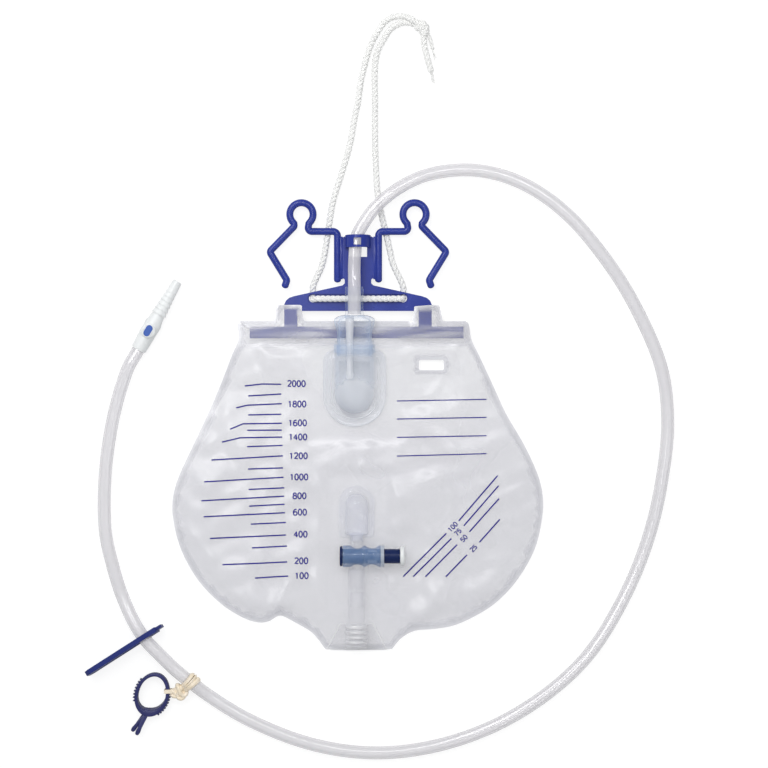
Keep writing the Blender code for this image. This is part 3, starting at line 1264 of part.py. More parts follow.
def cord_points():
    """Points for the cord's tube: close together in the base, wide apart in the loop."""
    route = smooth_route(hanging_route(), 1.2, CORD_D / 2 + 0.05)
    return thinned(
        route, 12.0, 1.2, lambda p: -24.0 < TOP_Y - p.y < 0.0 and abs(p.x) > 22.0
    )


def tube_points():
    """Points for the tube: close together at the collar, the bridge, the band and the clamp."""
    route = smooth_route(tube_route(), 1.0, LAID)
    start = Vector((-3.0, 90.0))
    clamp = Vector((-138.0, -168.0))

    def is_fine(p):
        near_connector = (p - CONNECTOR_FOOT).length < 24.0
        near_clamp = (p.xy - clamp).length < 34.0
        return near_connector or near_clamp or (p.xy - start).length < 64.0 and p.x < 40.0

    return thinned(route, TUBE_SPACING, 6.0, is_fine)


def build():
    """Make the whole bag."""
    for obj in list(bpy.data.objects):
        bpy.data.objects.remove(obj, do_unlink=True)
    film_pvc = finish("soft_pvc_film", (0.78, 0.80, 0.84), 0.35, 0.45)
    clear_pvc = finish("clear_rigid_pvc", (0.66, 0.76, 0.88), 0.15, 0.5)
    milky = finish("milky_polyethylene", (0.80, 0.82, 0.86), 0.3, 0.7)
    tap_clear = finish("tinted_tap_plastic", (0.30, 0.45, 0.68), 0.25, 0.8)
    tube_pvc = finish("tube_pvc", (0.80, 0.78, 0.78), 0.2, 0.6)
    hanger_blue = finish("blue_polypropylene", (0.055, 0.065, 0.36), 0.4)
    navy = finish("navy_polyethylene", (0.012, 0.03, 0.14), 0.3)
    white = finish("white_abs", (0.86, 0.87, 0.88), 0.3)
    septum_blue = finish("septum_rubber", (0.06, 0.13, 0.50), 0.5)
    rope = finish("white_cord", (0.82, 0.83, 0.81), 0.8)
    cream = finish("cream_latex", (0.85, 0.72, 0.52), 0.55)
    rubber = finish("seal_rubber", (0.04, 0.04, 0.045), 0.6)

    make_films(film_pvc)
    make_pocket(film_pvc)
    make_hanger(hanger_blue)
    make_hook("left_hook", -1, hanger_blue)
    make_hook("right_hook", 1, hanger_blue)
    chamber = empty(
        "chamber_frame", at(CHAMBER_X, CHAMBER_DEPTH, CHAMBER_SEAT),
        Matrix.Rotation(CHAMBER_TILT, 3, "X"),
    )
    make_chamber(chamber, clear_pvc)
    make_stopper(chamber, clear_pvc)
    make_return_valve(chamber, film_pvc)
    make_outlet(milky)
    make_tap(tap_clear, navy, white, rubber)
    make_spout(milky)
    cord("drainage_tube", tube_points(), TUBE_R, 3, tube_pvc)
    make_connector(white, septum_blue)
    make_slide_clamp(navy)
    make_sheet_clip(navy)
    make_band(cream)
    make_hanging_cord(rope)


build()
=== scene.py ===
"""Looks of the closed urine drainage bag: its visible pieces, finishes, studio and camera.

The frame is the part's own: the bag lies on its back, +X to the right, +Y towards the hanger and +Z up
from the table. Sizes are in millimetres until a piece is made. A height on the bag is given as its
depth, the distance below the bag's top edge.
"""
from __future__ import annotations

import json
import logging
import math
from dataclasses import dataclass, field, replace
from enum import Enum
from typing import Callable, Iterable, NamedTuple, Sequence

import bmesh
import bpy
import numpy as np
from mathutils import Matrix, Vector
from mathutils.geometry import delaunay_2d_cdt

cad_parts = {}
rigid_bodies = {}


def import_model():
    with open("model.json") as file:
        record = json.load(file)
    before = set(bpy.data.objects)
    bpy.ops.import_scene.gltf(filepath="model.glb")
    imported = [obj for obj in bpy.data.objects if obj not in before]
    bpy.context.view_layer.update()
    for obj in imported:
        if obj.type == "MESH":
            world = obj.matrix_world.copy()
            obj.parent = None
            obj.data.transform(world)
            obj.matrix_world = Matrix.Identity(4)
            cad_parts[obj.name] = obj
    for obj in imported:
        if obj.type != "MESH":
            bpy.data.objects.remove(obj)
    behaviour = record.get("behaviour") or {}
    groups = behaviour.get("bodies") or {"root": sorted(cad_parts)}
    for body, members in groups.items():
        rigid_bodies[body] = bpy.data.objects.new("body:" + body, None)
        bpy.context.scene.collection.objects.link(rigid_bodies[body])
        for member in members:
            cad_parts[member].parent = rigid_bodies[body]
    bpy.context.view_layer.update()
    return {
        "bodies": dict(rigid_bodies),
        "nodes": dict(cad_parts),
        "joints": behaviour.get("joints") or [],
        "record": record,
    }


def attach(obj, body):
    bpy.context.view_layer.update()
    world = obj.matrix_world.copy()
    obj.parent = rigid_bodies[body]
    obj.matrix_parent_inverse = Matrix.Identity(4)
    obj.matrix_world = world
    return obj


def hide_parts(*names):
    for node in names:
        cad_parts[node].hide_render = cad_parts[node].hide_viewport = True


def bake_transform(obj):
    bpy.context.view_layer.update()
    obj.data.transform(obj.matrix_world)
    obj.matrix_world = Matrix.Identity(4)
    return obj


LOG = logging.getLogger("drainage_bag")

MM = 0.001
TOP_Y = 78.0  # the bag's top edge
GAP = 0.3  # between parts that seat on each other
FILM = 0.35  # the film's thickness
HANGER_Z = 4.7  # underside of the lifted hanger
PLATE = 2.4  # thickness of its plates
LAID = 4.7  # height of the drainage tube's axis where it lies on the table
CHAMBER_AT = (-2.5, 22.6, 6.3)  # x, depth and height of the chamber's mouth
CHAMBER_TILT = 3.8  # degrees
COLLAR_Z = 8.9  # the tube's axis over the chamber's back
OUTLET_X = -1.0
OUTLET_BACK = 1.85
TAP_DEPTH, TAP_Z = 173.6, 9.65
CLIP_AT = (-150.4, -197)  # the sheet clip's middle
INK_PROUD = 0.07

Outline = list[tuple[float, float]]
Material = bpy.types.Material
Piece = bpy.types.Object
Tree = bpy.types.NodeTree
Node = bpy.types.Node
Socket = bpy.types.NodeSocket


class Slot(Enum):
    """The record's finishes that a piece may take."""

    FILM = "soft_pvc_film"
    CLEAR = "clear_rigid_pvc"
    MILKY = "milky_polyethylene"
    TAP = "tinted_tap_plastic"
    TUBE = "tube_pvc"
    BLUE = "blue_polypropylene"
    NAVY = "navy_polyethylene"
    WHITE = "white_abs"
    SEPTUM = "septum_rubber"
    ROPE = "white_cord"
    LATEX = "cream_latex"
    SEAL = "seal_rubber"


class Body(Enum):
    """The bodies that move."""

    BAG = "bag"
    LEFT_HOOK = "left_hook"
    RIGHT_HOOK = "right_hook"
    PISTON = "tap_piston"
    CLAMP = "slide_clamp"


# Shapes


@dataclass
class Shape:
    """Vertices in millimetres and faces that become one piece."""

    vertices: list[Vector] = field(default_factory=list)
    faces: list[list[int]] = field(default_factory=list)

    def add(self, other: Shape) -> Shape:
        """Take another shape's faces in as well."""
        base = len(self.vertices)
        self.vertices = self.vertices + [Vector(v) for v in other.vertices]
        self.faces = self.faces + [[i + base for i in face] for face in other.faces]
        return self

    def moved(self, matrix: Matrix) -> Shape:
        """The shape put through a matrix."""
        return Shape([matrix @ Vector(v) for v in self.vertices], self.faces)


def at(x: float, depth: float, z: float = 0.0) -> Vector:
    """A point at a depth below the bag's top edge."""
    return Vector((x, TOP_Y - depth, z))


def turn(degrees: float, axis: str) -> Matrix:
    """A rotation about one axis."""
    return Matrix.Rotation(math.radians(degrees), 4, axis)


def shift(x: float, y: float, z: float) -> Matrix:
    """A move."""
    return Matrix.Translation((x, y, z))


def ease(t: np.ndarray | float) -> np.ndarray | float:
    """Smooth step from 0 to 1."""
    t = np.clip(t, 0.0, 1.0)
    return t * t * (3 - 2 * t)


def arc(cx: float, cy: float, radius: float, start: float, end: float, steps: int,
        squash: float = 1.0) -> Outline:
    """Points along an arc.

    Args:
        cx, cy: The arc's centre.
        radius: Its radius.
        start, end: Its angles in degrees.
        steps: How many spans it has.
        squash: The second radius as a share of the first.

    Returns:
        The points, both ends included.
    """
    points = []
    for k in range(steps + 1):
        a = math.radians(start + (end - start) * k / steps)
        points.append((cx + radius * math.cos(a), cy + radius * squash * math.sin(a)))
    return points


def arch(y: float, half: float, arc_z: float, back: float, steps: int = 36) -> list:
    """A half round over a flat back, standing at one length along Y."""
    outline = [(half, back)] + arc(0, arc_z, half, 0, 180, steps) + [(-half, back)]
    return [(x, y, z) for x, z in outline]


def vault(half: float, arc_z: float, back: float, mouth: float, end: float, spans: int,
        angles: Sequence[float], steps: int = 36) -> list:
    """Arches from a mouth to an end that closes as a quarter of a ball.

    Args:
        half: Its half width.
        arc_z, back: Heights of its round's centre and of its flat underside.
        mouth, end: Where it starts, and where the ball starts.
        spans: Spans between the two.
        angles: Degrees round the ball.
        steps: Spans round each arch.

    Returns:
        The arches.
    """
    rings = [arch(mouth + (end - mouth) * k / spans, half, arc_z, back, steps) for k in range(spans + 1)]
    for a in map(math.radians, angles):
        out = math.copysign(half * math.sin(a), end - mouth)
        rings.append(arch(end + out, half * math.cos(a), arc_z, back, steps))
    return rings


def slot_outline(half_length: float, half_width: float, steps: int = 14) -> Outline:
    """A stadium shape that lies along its first axis."""
    reach = half_length - half_width
    return arc(reach, 0, half_width, -90, 90, steps) + arc(-reach, 0, half_width, 90, 270, steps)


def inset(outline: Outline, by: float) -> Outline:
    """Move a closed outline inwards.

    Args:
        outline: The outline, anticlockwise.
        by: How far each point moves in.

    Returns:
        As many points, moved.
    """
    moved = []
    count = len(outline)
    for k in range(count):
        here = Vector(outline[k])
        before, after = Vector(outline[k - 1]), Vector(outline[(k + 1) % count])
        a, b = (here - before).normalized(), (after - here).normalized()
        normal = Vector((-a.y - b.y, a.x + b.x))
        length = max(normal.length, 0.4)
        spot = here + normal / length * by * 2 / length
        moved.append((spot.x, spot.y))
    return moved


def loft(rings: Sequence[Sequence], wrap: bool = False) -> Shape:
    """Join rings of equally many points.

    Args:
        rings: The rings in order.
        wrap: Join the last ring to the first, in place of closing both ends.

    Returns:
        A closed shape.
    """
    count = len(rings[0])
    vertices = [Vector(point) for ring in rings for point in ring]
    faces = [] if wrap else [list(range(count))[::-1]]
    for ring in range(len(rings) if wrap else len(rings) - 1):
        base, other = ring * count, (ring + 1) % len(rings) * count
        for i in range(count):
            j = (i + 1) % count
            faces.append([base + i, base + j, other + j, other + i])
    if not wrap:
        faces.append([(len(rings) - 1) * count + i for i in range(count)])
    return Shape(vertices, faces)


def plate(outline: Outline, levels: Iterable[tuple[float, float]]) -> Shape:
    """A plate whose edge steps in and out.

    Args:
        outline: The outline, anticlockwise, as (x, y).
        levels: (inset, height) pairs from the underside to the top.

    Returns:
        The closed plate.
    """
    return loft([[(x, y, z) for x, y in inset(outline, by)] for by, z in levels])


def lathe(profile: Outline, segments: int = 56) -> Shape:
    """Turn a profile about Z.

    Args:
        profile: (height, radius) pairs: a closed loop, or a line that ends at radius 0.
        segments: Steps round the axis.

    Returns:
        The closed shape.
    """
    shape, rings = Shape(), []
    for height, radius in profile:
        if radius == 0:
            rings.append([len(shape.vertices)] * segments)
            shape.vertices.append(Vector((0, 0, height)))
            continue
        rings.append(list(range(len(shape.vertices), len(shape.vertices) + segments)))
        shape.vertices += [Vector((radius * math.cos(a), radius * math.sin(a), height))
            for a in turn_angles(segments)]
    hollow = profile[0][1] > 0
    for a in range(len(rings) if hollow else len(rings) - 1):
        first, second = rings[a], rings[(a + 1) % len(rings)]
        for k in range(segments):
            n = (k + 1) % segments
            corners: list[int] = []
            for v in (first[k], first[n], second[n], second[k]):
                if v not in corners:
                    corners.append(v)
            shape.faces.append(corners)
    return shape


def ball(centre: Sequence[float], radii: Sequence[float], turns: int = 32, steps: int = 18) -> Shape:
    """An ellipsoid."""
    angles = [math.pi * k / steps for k in range(1, steps)]
    profile = [(-1, 0), *((-math.cos(a), math.sin(a)) for a in angles), (1, 0)]
    return lathe(profile, turns).moved(Matrix.Translation(centre) @ Matrix.Diagonal((*radii, 1)))


def run_frames(path: Sequence[Vector], wrap: bool = False) -> list[tuple[Vector, Vector, Vector]]:
    """Directions along a path that don't twist.

    Args:
        path: The path's points.
        wrap: Whether it closes on itself.

    Returns:
        Along, side and up at each point.
    """
    frames = []
    side = None
    count = len(path)
    for k in range(count):
        before = path[k - 1] if wrap or k else path[0]
        after = path[(k + 1) % count] if wrap or k < count - 1 else path[-1]
        along = (after - before).normalized()
        if side is None:
            side = along.cross(Vector((0, 0, 1)))
            side = side.normalized() if side.length > 0.01 else Vector((1, 0, 0))
        side = (side - along * side.dot(along)).normalized()
        frames.append((along, side, side.cross(along)))
    return frames


def hose(path: Sequence[Vector], radius: float | Callable[[float], float], sides: int = 20,
        wrap: bool = False, flat: float = 1.0) -> Shape:
    """A round bar along a path.

    Args:
        path: Its axis.
        radius: Its radius, or a function of the share of the way along.
        sides: Steps round it.
        wrap: Whether it closes on itself.
        flat: Its height as a share of its width.

    Returns:
        The closed shape.
    """
    rings = []
    for k, (point, (_, side, up)) in enumerate(zip(path, run_frames(path, wrap))):
        r = radius(k / (len(path) - 1)) if callable(radius) else radius
        rings.append([point + side * r * math.cos(a) + up * r * flat * math.sin(a)
            for a in turn_angles(sides)])
    return loft(rings, wrap)


def smooth_route(points: Iterable, spacing: float, floor: float = 0.0) -> list[Vector]:
    """Evenly spaced points on one smooth curve through a route.

    Args:
        points: The route's own points.
        spacing: How far apart the new points are.
        floor: The lowest height allowed.

    Returns:
        The new points.
    """
    points = [Vector(p) for p in points]
    ends = [points[0] * 2 - points[1]] + points + [points[-1] * 2 - points[-2]]
    fine = []
    for p0, p1, p2, p3 in zip(ends, ends[1:], ends[2:], ends[3:]):
        t1 = (p1 - p0).length ** 0.5
        t2 = t1 + (p2 - p1).length ** 0.5
        t3 = t2 + (p3 - p2).length ** 0.5
        for k in range(12):
            t = t1 + (t2 - t1) * k / 12
            a1, a2 = p0.lerp(p1, t / t1), p1.lerp(p2, (t - t1) / (t2 - t1))
            a3 = p2.lerp(p3, (t - t2) / (t3 - t2))
            b1, b2 = a1.lerp(a2, t / t2), a2.lerp(a3, (t - t1) / (t3 - t1))
            fine.append(b1.lerp(b2, (t - t1) / (t2 - t1)))
    fine.append(points[-1])
    lengths = [0]
    for a, b in zip(fine, fine[1:]):
        lengths.append(lengths[-1] + (b - a).length)
    count = max(2, round(lengths[-1] / spacing))
    route, here = [], 0
    for k in range(count + 1):
        target = lengths[-1] * k / count
        while here < len(fine) - 2 and lengths[here + 1] < target:
            here += 1
        span = lengths[here + 1] - lengths[here]
        route.append(fine[here].lerp(fine[here + 1], (target - lengths[here]) / span))
    return kept_above(route, floor)


def turn_angles(steps: int, count: int | None = None) -> list[float]:
    """Evenly spaced angles: one turn in so many steps, or a given count of them."""
    return [math.tau * k / steps for k in range(count or steps)]


def kept_above(path: Iterable[Vector], floor: float) -> list[Vector]:
    """A path with no point below a floor."""
    return [Vector((p.x, p.y, max(p.z, floor))) for p in path]


def rounded_path(corners: Sequence, radii: Sequence[float], steps: int = 8) -> list[Vector]:
    """A line through corners with each inner corner rounded.

    Args:
        corners: The corners.
        radii: One radius for each inner corner.
        steps: Spans in each rounding.

    Returns:
        The line's points.
    """
    points = [Vector(corners[0])]
    for before, corner, after, radius in zip(corners, corners[1:], corners[2:], radii):
        corner = Vector(corner)
        a, b = (Vector(before) - corner).normalized(), (Vector(after) - corner).normalized()
        half = a.angle(b) / 2
        back = radius / math.tan(half)
        centre = corner + (a + b).normalized() * radius / math.sin(half)
        start, end = corner + a * back - centre, corner + b * back - centre
        for k in range(steps + 1):
            points.append(centre + start.lerp(end, k / steps).normalized() * radius)
    points.append(Vector(corners[-1]))
    return points


# Pieces


class Look(NamedTuple):
    """A finish that has been built, and the record's finish that it shows."""

    material: Material
    slot: Slot


def put_in_scene(name: str, mesh: bpy.types.Mesh, material: Material, sharp: float) -> Piece:
    """Link a mesh as an object at the origin.

    Args:
        name: The object's name.
        mesh: Its mesh.
        material: Its only material.
        sharp: The angle in degrees past which an edge stays sharp.

    Returns:
        The object.
    """
    mesh.materials.clear()
    mesh.materials.append(material)
    mesh.shade_smooth()
    mesh.set_sharp_from_angle(angle=math.radians(sharp))
    obj = bpy.data.objects.new(name, mesh)
    bpy.context.scene.collection.objects.link(obj)
    return obj


def mesh_piece(name: str, shape: Shape, material: Material, sharp: float = 40.0, merge: bool = True) -> Piece:
    """Make an object of a shape.

    Args:
        name: The object's name.
        shape: Its shape in millimetres.
        material: Its material.
        sharp: The angle in degrees past which an edge stays sharp.
        merge: Join doubled points and turn the faces outwards.

    Returns:
        The object.
    """
    mesh = bpy.data.meshes.new(name)
    mesh.from_pydata([Vector(v) * MM for v in shape.vertices], [], shape.faces)
    if merge:
        bm = bmesh.new()
        bm.from_mesh(mesh)
        bmesh.ops.remove_doubles(bm, verts=bm.verts, dist=1e-6)
        bmesh.ops.recalc_face_normals(bm, faces=bm.faces)
        bm.to_mesh(mesh)
        bm.free()
    return put_in_scene(name, mesh, material, sharp)


def register(obj: Piece, body: Body = Body.BAG, stands_for: str = "") -> Piece:
    """Tell the frame what a finished piece is.

    Args:
        obj: The piece.
        body: The body that it rides on.
        stands_for: The CAD node that it replaces, if any.

    Returns:
        The piece.
    """
    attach(obj, body.value)
    if stands_for:
        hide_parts(stands_for)
    LOG.info("made %s on %s, %d faces", obj.name, body.value, len(obj.data.polygons))
    return obj


def make(name: str, shape: Shape, look: Look, sharp: float = 40.0, merge: bool = True,
        body: Body = Body.BAG, stands_for: str = "") -> Piece:
    """Make a piece of a shape and register it.

    Args:
        name, shape, sharp, merge: As mesh_piece takes them.
        look: The piece's finish.

    Returns:
        The piece.
    """
    obj = mesh_piece(name, shape, look.material, sharp, merge)
    return register(obj, body, stands_for)


def rounded_node(nodes: dict[str, Piece], node: str, name: str, look: Look, bevel: float,
        body: Body = Body.BAG) -> Piece:
    """A merged copy of a CAD node with its edges rounded, in the node's place.

    Args:
        nodes: The CAD nodes.
        node: The one to copy.
        name: The copy's name.
        look: Its finish.
        bevel: Width of the rounding in millimetres.
        body: Its body.

    Returns:
        The piece.
    """
    mesh = nodes[node].data.copy()
    mesh.transform(nodes[node].matrix_world)
    bm = bmesh.new()
    bm.from_mesh(mesh)
    bmesh.ops.remove_doubles(bm, verts=bm.verts, dist=2e-6)
    bmesh.ops.dissolve_limit(bm, angle_limit=0.01, verts=bm.verts, edges=bm.edges)
    bm.to_mesh(mesh)
    bm.free()
    obj = put_in_scene(name, mesh, look.material, 32)
    rounding = obj.modifiers.new("rounded_edges", "BEVEL")
    rounding.width = bevel * MM
    rounding.segments = 3
    rounding.limit_method = "ANGLE"
    rounding.angle_limit = math.radians(34)
    rounding.use_clamp_overlap = True
    return register(obj, body, node)


def paint(obj: Piece, name: str, values: Sequence[float]) -> None:
    """Write one value for each point of a piece into an attribute."""
    layer = obj.data.attributes.new(name, "FLOAT", "POINT")
    layer.data.foreach_set("value", np.asarray(values, np.float32))


# Nodes


def feed(tree: Tree, node: Node, inputs: dict) -> None:
    """Set a node's inputs.

    Args:
        tree: Its tree.
        node: The node.
        inputs: For each socket's name or number a value, an output, or a node whose first output feeds it.
    """
    for key, value in inputs.items():
        if isinstance(value, (Node, Socket)):
            tree.links.new(value.outputs[0] if isinstance(value, Node) else value, node.inputs[key])
        else:
            node.inputs[key].default_value = value


def add_node(tree: Tree, kind: str, inputs: dict | None = None, **settings) -> Node:
    """Add a node with its settings, values and links.

    Args:
        tree: The tree that it goes into.
        kind: The node's type.
        inputs: What feed takes.
        settings: The node's own settings.

    Returns:
        The node.
    """
    node = tree.nodes.new(kind)
    for key, value in settings.items():
        setattr(node, key, value)
    feed(tree, node, inputs or {})
    return node


def srgb(code: str) -> tuple[float, float, float, float]:
    """A hex colour turned to linear."""
    parts = [int(code[k:k + 2], 16) / 255 for k in (1, 3, 5)]
    linear = [c / 12.92 if c <= 0.04045 else ((c + 0.055) / 1.055) ** 2.4 for c in parts]
    return (*linear, 1.0)


def blank_material(name: str) -> tuple[Material, Tree, Node, Socket]:
    """A new material.

    Args:
        name: The material's name.

    Returns:
        The material, its tree, its shader and the Object coordinates.
    """
    material = bpy.data.materials.new(name)
    material.use_nodes = True
    tree = material.node_tree
    coords = add_node(tree, "ShaderNodeTexCoord")
    return material, tree, tree.nodes["Principled BSDF"], coords.outputs["Object"]


def per_mm(size: float) -> float:
    """A noise scale whose features are this many millimetres."""
    return 1.0 / (size * MM)


@dataclass(frozen=True)
class Polymer:
    """What every polymer here has: two tones in slow clouds, a gloss that follows them, a fine skin."""

    slot: Slot
    name: str
    colour: str
    cloud: str
    roughness: float

    DETAILS = (4, 3)  # of the clouds and of the skin
    DISTORTION = 0.0
    DRIFT = 0.25  # how far the clouds' noise strays from its middle
    DULLEST = 1.25  # the dullest spot's roughness as a share
    STRENGTH = 0.6

    def begin(self) -> tuple[Material, Tree, Node, Node, Socket]:
        """Build the nodes that every polymer has.

        Returns:
            The material, its tree, its shader, the clouds and the colour.
        """
        material, tree, shader, place = blank_material(self.name)
        cloud = add_node(tree, "ShaderNodeTexNoise", {"Vector": place, "Scale": per_mm(self.cloud_mm),
            "Detail": self.DETAILS[0]})
        skin = add_node(tree, "ShaderNodeTexNoise", {"Vector": place, "Scale": per_mm(self.skin_mm),
            "Detail": self.DETAILS[1], "Distortion": self.DISTORTION})
        tone = add_node(tree, "ShaderNodeMapRange", {0: cloud, 1: 0.3, 2: 0.7})
        colour = add_node(tree, "ShaderNodeMix", {0: tone, 6: srgb(self.colour), 7: srgb(self.cloud)},
            data_type="RGBA")
        gloss = add_node(tree, "ShaderNodeMapRange", {0: cloud, 1: 0.5 - self.DRIFT, 2: 0.5 + self.DRIFT,
            3: self.roughness * 0.8, 4: self.roughness * self.DULLEST})
        relief = add_node(tree, "ShaderNodeBump", {"Height": skin, "Strength": self.STRENGTH,
            "Distance": self.relief * MM})
        feed(tree, shader, {"Base Color": colour.outputs[2], "Roughness": gloss, "Normal": relief,
            "IOR": self.index, "Specular IOR Level": self.specular})
        return material, tree, shader, cloud, colour.outputs[2]


@dataclass(frozen=True)
class MouldedPlastic(Polymer):
    """An opaque moulded or extruded polymer: slightly cloudy colour, soft gloss, orange-peel skin."""

    cloud_mm: float = 16.0
    skin_mm: float = 0.9
    relief: float = 0.012
    specular: float = 0.5
    index: float = 1.5

    def build(self) -> Look:
        """Make the material."""
        return Look(self.begin()[0], self.slot)


@dataclass(frozen=True)
class SeeThrough(Polymer):
    """A see-through polymer: thin where it faces the eye, denser at its turned edges.

    An attribute of the mesh named by mark says where it is welded or frosted, and so whiter, and on the
    pocket also where a painted highlight lies over the spout's rib crests. Below zero it says where the film
    clings to what lies behind it, and so is clearer, and towards the bag's top, where the film is made
    clearer so that it reads brighter, a painted light.
    """

    alpha: float
    edge_alpha: float
    cloud_mm: float = 20.0
    skin_mm: float = 14.0
    relief: float = 0.1
    cloud_alpha: float = 0.015
    edge_power: float = 2.6
    specular: float = 0.6
    index: float = 1.52
    mark: str = ""
    mark_colour: str = "#fbfbfd"
    mark_alpha: float = 0.72

    DETAILS = (2, 1.5)
    DISTORTION = 0.4
    DRIFT = 0.2
    DULLEST = 1.2
    STRENGTH = 0.8

    def build(self) -> Look:
        """Make the material.

        Returns:
            The finish.
        """
        material, tree, shader, cloud, colour = self.begin()
        facing = add_node(tree, "ShaderNodeLayerWeight", {"Blend": 0.5})
        rim = add_node(tree, "ShaderNodeMath", {0: facing.outputs["Facing"], 1: self.edge_power},
            operation="POWER")
        density = add_node(tree, "ShaderNodeMapRange", {0: rim, 3: self.alpha, 4: self.edge_alpha})
        patchy = add_node(tree, "ShaderNodeMapRange", {0: cloud, 1: 0.3, 2: 0.7, 3: -self.cloud_alpha,
            4: self.cloud_alpha})
        alpha = add_node(tree, "ShaderNodeMath", {0: density, 1: patchy})
        if self.mark:
            mark = add_node(tree, "ShaderNodeAttribute", attribute_name=self.mark).outputs["Fac"]
            whiter = add_node(tree, "ShaderNodeMix", {0: mark, 6: colour, 7: srgb(self.mark_colour)},
                data_type="RGBA")
            feed(tree, shader, {"Base Color": whiter.outputs[2]})
            alpha = add_node(tree, "ShaderNodeMix", {0: mark, 2: alpha, 3: self.mark_alpha},
                data_type="FLOAT", clamp_factor=False)
        feed(tree, shader, {"Alpha": alpha})
        return Look(material, self.slot)


@dataclass(frozen=True)
class TwistedFibre:
    """Spun polyester yarn: matt, with fine filaments and a faint sheen."""

    slot: Slot
    name: str
    colour: str
    shade: str
    filament_mm: float = 0.5
    relief: float = 0.06

    def build(self) -> Look:
        """Make the material.

        Returns:
            The finish.
        """
        material, tree, shader, place = blank_material(self.name)
        squeeze = add_node(tree, "ShaderNodeMapping", {"Vector": place, "Scale": (1, 0.35, 1)})
        filament = add_node(tree, "ShaderNodeTexNoise", {"Vector": squeeze, "Scale": per_mm(self.filament_mm),
            "Detail": 3.0})
        tone = add_node(tree, "ShaderNodeMapRange", {0: filament, 1: 0.35, 2: 0.7})
        colour = add_node(tree, "ShaderNodeMix", {0: tone, 6: srgb(self.shade), 7: srgb(self.colour)},
            data_type="RGBA")
        relief = add_node(tree, "ShaderNodeBump", {"Height": filament, "Strength": 0.6,
            "Distance": self.relief * MM})
        feed(tree, shader, {"Base Color": colour.outputs[2], "Normal": relief, "Roughness": 0.85,
            "Sheen Weight": 0.3, "Sheen Roughness": 0.5})
        return Look(material, self.slot)


